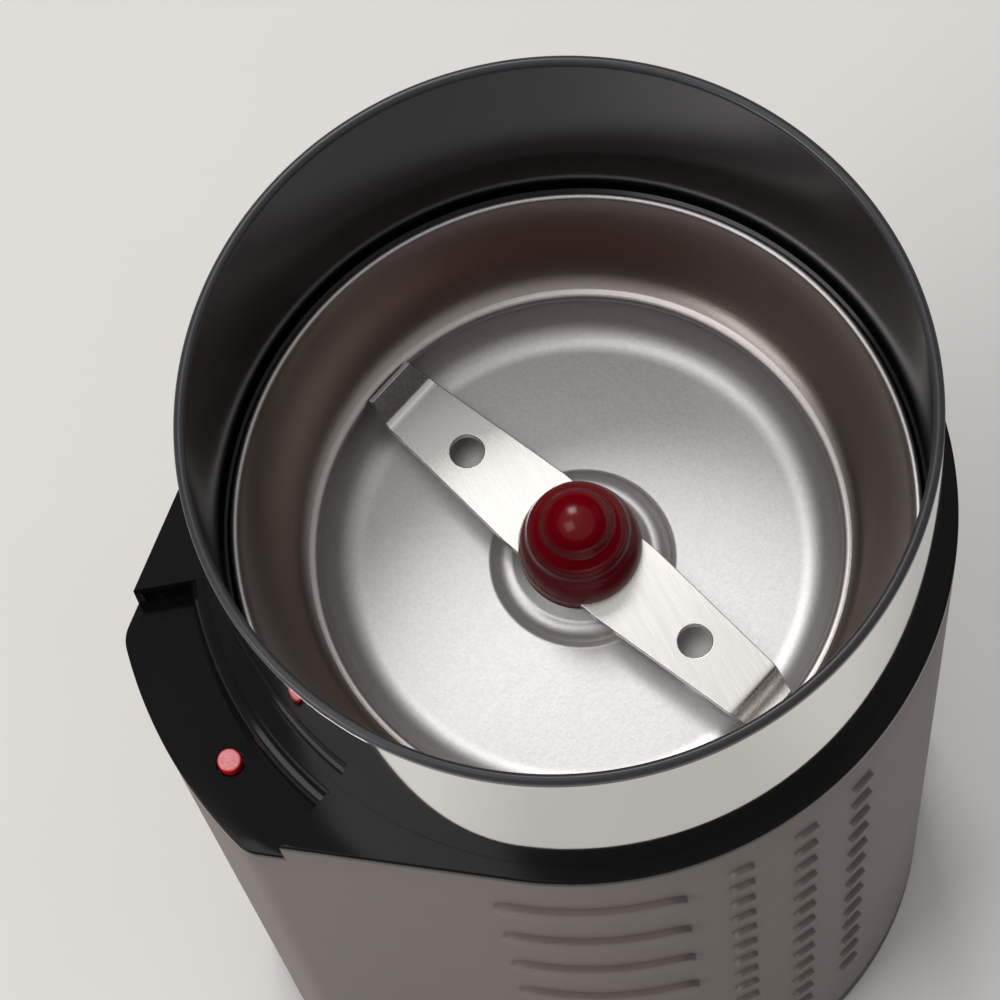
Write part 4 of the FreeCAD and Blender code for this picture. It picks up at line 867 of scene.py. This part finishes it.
def pin_profile(p):
    """Profile of the push pin from the foot of its stem to its domed top, both ends on the axis."""
    flange_top = p.flange_z + p.flange
    return trace(
        (0, p.foot_z), (p.stem_r, p.foot_z), (p.stem_r, p.flange_z), (p.flange_r, p.flange_z),
        (p.flange_r, flange_top), (p.radius, flange_top), (p.radius, p.top_z - 0.35),
        ((p.radius - 0.12, p.top_z - 0.12), (p.radius - 0.4, p.top_z - 0.05)),
        ((p.radius * 0.4, p.top_z - 0.01), (0, p.top_z)))


def spring_surface(s, centre):
    """Round wire along a helix, in rings of 10 points, with both ends closed.

    The middle line is (R cos a, R sin a, foot + wire radius + rise per turn * a / 2 pi). A ring lies in the plane
    of the outward direction and the direction square to it and to the line."""
    per_turn = 24
    a = np.linspace(0, 2 * np.pi * s.turns, int(per_turn * s.turns) + 1)
    a = np.concatenate([a[:1], a, a[-1:]])
    thick = np.concatenate([[0], np.full(len(a) - 2, s.wire_r), [0]])[:, None, None]
    rise = (s.top_z - s.foot_z - 2 * s.wire_r) / (2 * np.pi * s.turns)
    outward = np.column_stack([np.cos(a), np.sin(a), 0 * a])
    along = np.column_stack([-s.mean_r * np.sin(a), s.mean_r * np.cos(a), 0 * a + rise])
    along /= np.linalg.norm(along, axis=1)[:, None]
    across = np.cross(outward, along)
    climb = s.foot_z + s.wire_r + rise * a
    line = s.mean_r * outward + np.column_stack([0 * a + centre[0], 0 * a + centre[1], climb])
    b = np.linspace(0, 2 * np.pi, 10, endpoint=False)[None, :, None]
    grid = line[:, None] + thick * (np.cos(b) * outward[:, None] + np.sin(b) * across[:, None])
    return grid, quads(*grid.shape[:2], False, True)


# Operators


class GRINDER_OT_collar(bpy.types.Operator):
    """Adds the upper ring with its rounded rim"""
    bl_idname = "grinder.collar"
    bl_label = "Collar ring"

    def execute(self, context):
        c, housing = sizes(context, "collar"), sizes(context, "housing")
        finish = gloss_abs(context.scene.grinder_finishes.gloss_black, 0.28)
        profile = collar_profile(c, housing)
        piece = add_turned("collar_ring", profile[:-1], finish, "housing", ["collar"], count=256)
        piece.data.materials.append(satin_abs(context.scene.grinder_finishes.satin_black))
        heights = np.array([polygon.center.z for polygon in piece.data.polygons]) / MM
        indices = (heights > c.rim_z - 0.62).astype(np.int32)
        piece.data.polygons.foreach_set("material_index", indices)
        return {"FINISHED"}


class GRINDER_OT_ledge(bpy.types.Operator):
    """Adds the ledge with its nose, switch recess and pad"""
    bl_idname = "grinder.ledge"
    bl_label = "Ledge and nose"

    def execute(self, context):
        c, housing, pin = sizes(context, "collar"), sizes(context, "housing"), sizes(context, "pin")
        points, faces = ledge_surface(c, housing, pin)
        finish = gloss_abs(context.scene.grinder_finishes.gloss_black, 0.12, "semi_gloss_moulded_abs")
        add_piece("collar_ledge", points, faces, finish, "housing")
        return {"FINISHED"}


class GRINDER_OT_band(bpy.types.Operator):
    """Adds the polished steel band round the collar"""
    bl_idname = "grinder.band"
    bl_label = "Steel band"

    def execute(self, context):
        c = sizes(context, "collar")
        top, inner, e = c.rim_z - c.band_drop, c.outer_r - c.band_wall, 0.08
        profile = trace((inner, c.ledge_z), (inner, top), (c.outer_r - e, top), (c.outer_r, top - e),
                        (c.outer_r, c.ledge_z + e), (c.outer_r - e, c.ledge_z), (inner, c.ledge_z))
        finish = mirror_steel(context.scene.grinder_finishes.band_steel)
        add_turned("band", profile[:-1], finish, "housing", ["steel_band"], count=256)
        return {"FINISHED"}


class GRINDER_OT_sleeve(bpy.types.Operator):
    """Adds the soft sleeve with its grip ribs and relief bars"""
    bl_idname = "grinder.sleeve"
    bl_label = "Soft sleeve"

    def execute(self, context):
        c, housing, r = sizes(context, "collar"), sizes(context, "housing"), sizes(context, "relief")
        seam_z = c.ledge_z - c.band_height
        finish = soft_touch_elastomer(context.scene.grinder_finishes.soft_touch)
        grid, faces = sleeve_surface(c, housing)
        add_piece("sleeve", grid, [faces], finish, "housing", ["grip_sleeve"])
        columns = r.rib_azimuth + r.rib_step * np.arange(3)
        rows = seam_z - r.first_drop - r.pitch * np.arange(13)
        places = np.array([(a, z) for a in np.concatenate([columns, 360 - columns]) for z in rows])
        grid, faces = pills(places[:, 0], places[:, 1], (r.rib_length - r.rib_height) / 2, r.rib_height / 2,
                            r.rib_proud, housing, seam_z)
        add_piece("sleeve_ribs", grid, faces, finish, "housing")
        heights = seam_z - r.first_drop - r.pitch / 2 - r.bar_pitch * np.arange(7)
        half = math.radians(r.bar_angle) / 2 * housing.body_r
        grid, faces = pills(np.full(7, r.bar_azimuth), heights, half, r.bar_height / 2, r.bar_proud, housing, seam_z)
        add_piece("sleeve_bars", grid, faces, finish, "housing")
        return {"FINISHED"}


class GRINDER_OT_bowl(bpy.types.Operator):
    """Adds the pressed steel bowl with its rolled bead"""
    bl_idname = "grinder.bowl"
    bl_label = "Grinding bowl"

    def execute(self, context):
        b, colours = sizes(context, "bowl"), context.scene.grinder_finishes
        finish = bead_blasted_steel(colours.bowl_steel, colours.bowl_wall, b.step_r, b.rim_r)
        add_turned("bowl", bowl_profile(b), finish, "housing", ["grinding_bowl"], count=240)
        return {"FINISHED"}


class GRINDER_OT_blade(bpy.types.Operator):
    """Adds the ground blade with its two holes and bent tips"""
    bl_idname = "grinder.blade"
    bl_label = "Blade"

    def execute(self, context):
        b = sizes(context, "blade")
        points, faces = blade_surface(b)
        finish = ground_steel(context.scene.grinder_finishes.blade_steel, -b.azimuth + 35)
        piece = add_piece("blade_strip", points, faces, finish, "rotor", ["blade"], crease=25)
        bevel = piece.modifiers.new("ground_edge", "BEVEL")
        bevel.width = 0.12 * MM
        bevel.segments = 2
        bevel.limit_method = "ANGLE"
        bevel.angle_limit = math.radians(60)
        bevel.harden_normals = True
        return {"FINISHED"}


class GRINDER_OT_hub(bpy.types.Operator):
    """Adds the red hub"""
    bl_idname = "grinder.hub"
    bl_label = "Hub"

    def execute(self, context):
        finish = deep_red_abs(context.scene.grinder_finishes.hub_red)
        profile = hub_profile(sizes(context, "hub"))
        add_turned("hub", profile, finish, "rotor", ["hub_cap"], closed=False, count=128)
        return {"FINISHED"}


class GRINDER_OT_pin(bpy.types.Operator):
    """Adds the red push pin of the lid switch"""
    bl_idname = "grinder.pin"
    bl_label = "Push pin"

    def execute(self, context):
        p = sizes(context, "pin")
        colours = context.scene.grinder_finishes
        finish = red_acetal(colours.pin_red, colours.pin_worn, p.top_z)
        add_turned("push_pin_head", pin_profile(p), finish, "push_pin", ["switch_pin"], closed=False,
                   centre=pin_centre(p), count=64)
        return {"FINISHED"}


class GRINDER_OT_spring(bpy.types.Operator):
    """Adds the return spring"""
    bl_idname = "grinder.spring"
    bl_label = "Return spring"

    def execute(self, context):
        s, centre = sizes(context, "spring"), pin_centre(sizes(context, "pin"))
        grid, faces = spring_surface(s, centre)
        # Zinc-plated music wire: pale, drawn smooth
        finish = plain_metal("zinc_plated_spring_wire", "#BFC3C6", 0.25, 0.38, 0.6)
        piece = add_piece("return_spring", grid, [faces], finish, "housing", ["pin_spring"])
        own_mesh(piece)
        return {"FINISHED"}


class GRINDER_OT_inside(bpy.types.Operator):
    """Gives every CAD piece its finish"""
    bl_idname = "grinder.inside"
    bl_label = "Inner finishes"

    def execute(self, context):
        finishes = inner_finishes()
        finishes["ground_steel"] = plain_metal("ground_shaft_steel", "#C9C8C6", 0.18, 0.3, 0.3, (1, 1, 0.1))
        for slot, name in (("soft_touch", "soft_touch_elastomer"), ("black_gloss", "moulded_gloss_abs"),
                           ("polished_steel", "mirror_polished_stainless"),
                           ("satin_steel", "bead_blasted_stainless"), ("red_gloss", "polished_red_abs"),
                           ("red_satin", "red_acetal")):
            finishes[slot] = bpy.data.materials[name]
        for part in frame["record"]["subparts"]:
            mesh = frame["nodes"][part["node"]].data
            mesh.materials.clear()
            mesh.materials.append(finishes[part["material_slot"]])
        return {"FINISHED"}


class GRINDER_OT_stage(bpy.types.Operator):
    """Adds the table, the lamps and the camera"""
    bl_idname = "grinder.stage"
    bl_label = "Stage"

    def execute(self, context):
        add_table(context.scene.grinder_finishes.table)
        add_world(context.scene)
        for lamp in LAMPS:
            add_lamp(*lamp)
        add_camera(context.scene)
        context.scene.view_settings.view_transform = "Standard"
        return {"FINISHED"}


# Name, azimuth and elevation in degrees, side in metres and power in watts
LAMPS = (("key_softbox", 78, 55, 0.3, 3.7), ("top_softbox", 170, 72, 0.42, 1.7),
         ("left_softbox", 184, 24, 0.6, 6.2), ("overhead_panel", 75, 76, 0.75, 0.35))


def add_table(rgb):
    """Round table top as a disc of rings, wide enough to fill the picture."""
    radius = np.array([0.0, 0.2, 0.6, 1.5, 3.0])
    a = np.linspace(0, 2 * np.pi, 96, endpoint=False)[:, None]
    grid = np.stack(np.broadcast_arrays(radius * np.cos(a), radius * np.sin(a), 0 * a), axis=-1)
    mesh = bpy.data.meshes.new("table")
    faces = quads(96, 5, True, False)[..., ::-1]
    mesh.from_pydata(grid.reshape(-1, 3).tolist(), [], faces.reshape(-1, 4).tolist())
    # Pale matt laminate: no gloss, a barely visible speckle
    mesh.materials.append(grained("matt_laminate", rgb, (0.985, 1.015), (0.6, 0.7), (30.0, 2.0),
                                  **{"Specular IOR Level": 0.2}))
    table = bpy.data.objects.new("table", mesh)
    bpy.context.scene.collection.objects.link(table)


def add_world(scene):
    """Even pale surroundings."""
    world = bpy.data.worlds.new("studio")
    world.use_nodes = True
    background = world.node_tree.nodes["Background"]
    background.inputs["Color"].default_value = (*linear("#F6F5F4"), 1)
    background.inputs["Strength"].default_value = 0.53
    scene.world = world


def aim(place, target):
    """Rotation that points the local -Z axis from place to target."""
    way = np.array(target, float) - np.array(place, float)
    back = -way / np.linalg.norm(way)
    side = np.cross((0, 0, 1), back)
    side = side / np.linalg.norm(side)
    up = np.cross(back, side)
    return Matrix(np.column_stack([side, up, back]).tolist()).to_4x4()


def add_lamp(name, azimuth, elevation, size, power):
    """Square softbox 1.1 m from the bowl, at an azimuth and an elevation in degrees, which looks at the bowl."""
    a, e = math.radians(azimuth), math.radians(elevation)
    centre = np.array([0.0, 0.0, 0.13])
    place = centre + 1.1 * np.array([math.cos(e) * math.cos(a), math.cos(e) * math.sin(a), math.sin(e)])
    lamp = bpy.data.lights.new(name, "AREA")
    lamp.shape = "SQUARE"
    lamp.size = size
    lamp.energy = power
    lamp.color = linear("#FFFEFD")
    holder = bpy.data.objects.new(name, lamp)
    holder.matrix_world = Matrix.Translation(place.tolist()) @ aim(place, centre)
    bpy.context.scene.collection.objects.link(holder)


def add_camera(scene):
    """Camera at the photograph's place: its axes are right, up and back."""
    right = (0.86912, -0.48997, -0.06745)
    up = (0.48451, 0.81605, 0.31514)
    back = (-0.09937, -0.30657, 0.94665)
    data = bpy.data.cameras.new("camera")
    data.sensor_width = 36.0
    data.lens = 180.0
    data.clip_start = 0.02
    holder = bpy.data.objects.new("camera", data)
    holder.matrix_world = Matrix.Translation((-0.06098, -0.16311, 0.64879)) @ Matrix(
        np.column_stack([right, up, back]).tolist()).to_4x4()
    scene.collection.objects.link(holder)
    scene.camera = holder


STEPS = (GRINDER_OT_collar, GRINDER_OT_ledge, GRINDER_OT_band, GRINDER_OT_sleeve, GRINDER_OT_bowl,
         GRINDER_OT_blade, GRINDER_OT_hub, GRINDER_OT_pin, GRINDER_OT_spring, GRINDER_OT_inside, GRINDER_OT_stage)
GROUPS = {"collar": CollarSizes, "housing": HousingSizes, "relief": ReliefSizes, "bowl": BowlSizes,
          "blade": BladeSizes, "hub": HubSizes, "pin": PinSizes, "spring": SpringSizes, "finishes": Finishes}


class GRINDER_PT_panel(bpy.types.Panel):
    """Lists the steps that build the grinder"""
    bl_idname = "GRINDER_PT_panel"
    bl_label = "Spice grinder"
    bl_space_type = "VIEW_3D"
    bl_region_type = "UI"
    bl_category = "Spice grinder"

    def draw(self, context):
        for name, group in GROUPS.items():
            box = self.layout.box()
            box.label(text=name.capitalize())
            for prop in group.__annotations__:
                box.prop(getattr(context.scene, "grinder_" + name), prop)
        for step in STEPS:
            self.layout.operator(step.bl_idname)


def register():
    for entry in (*GROUPS.values(), *STEPS, GRINDER_PT_panel):
        bpy.utils.register_class(entry)
    for name, group in GROUPS.items():
        setattr(bpy.types.Scene, "grinder_" + name, PointerProperty(type=group))


def unregister():
    for name in GROUPS:
        delattr(bpy.types.Scene, "grinder_" + name)
    for entry in (GRINDER_PT_panel, *reversed(STEPS), *reversed(GROUPS.values())):
        bpy.utils.unregister_class(entry)


def main():
    """Registers the add-on and builds every piece in order."""
    register()
    for step in STEPS:
        area, call = step.bl_idname.split(".")
        getattr(getattr(bpy.ops, area), call)()


if __name__ == "__main__":
    main()
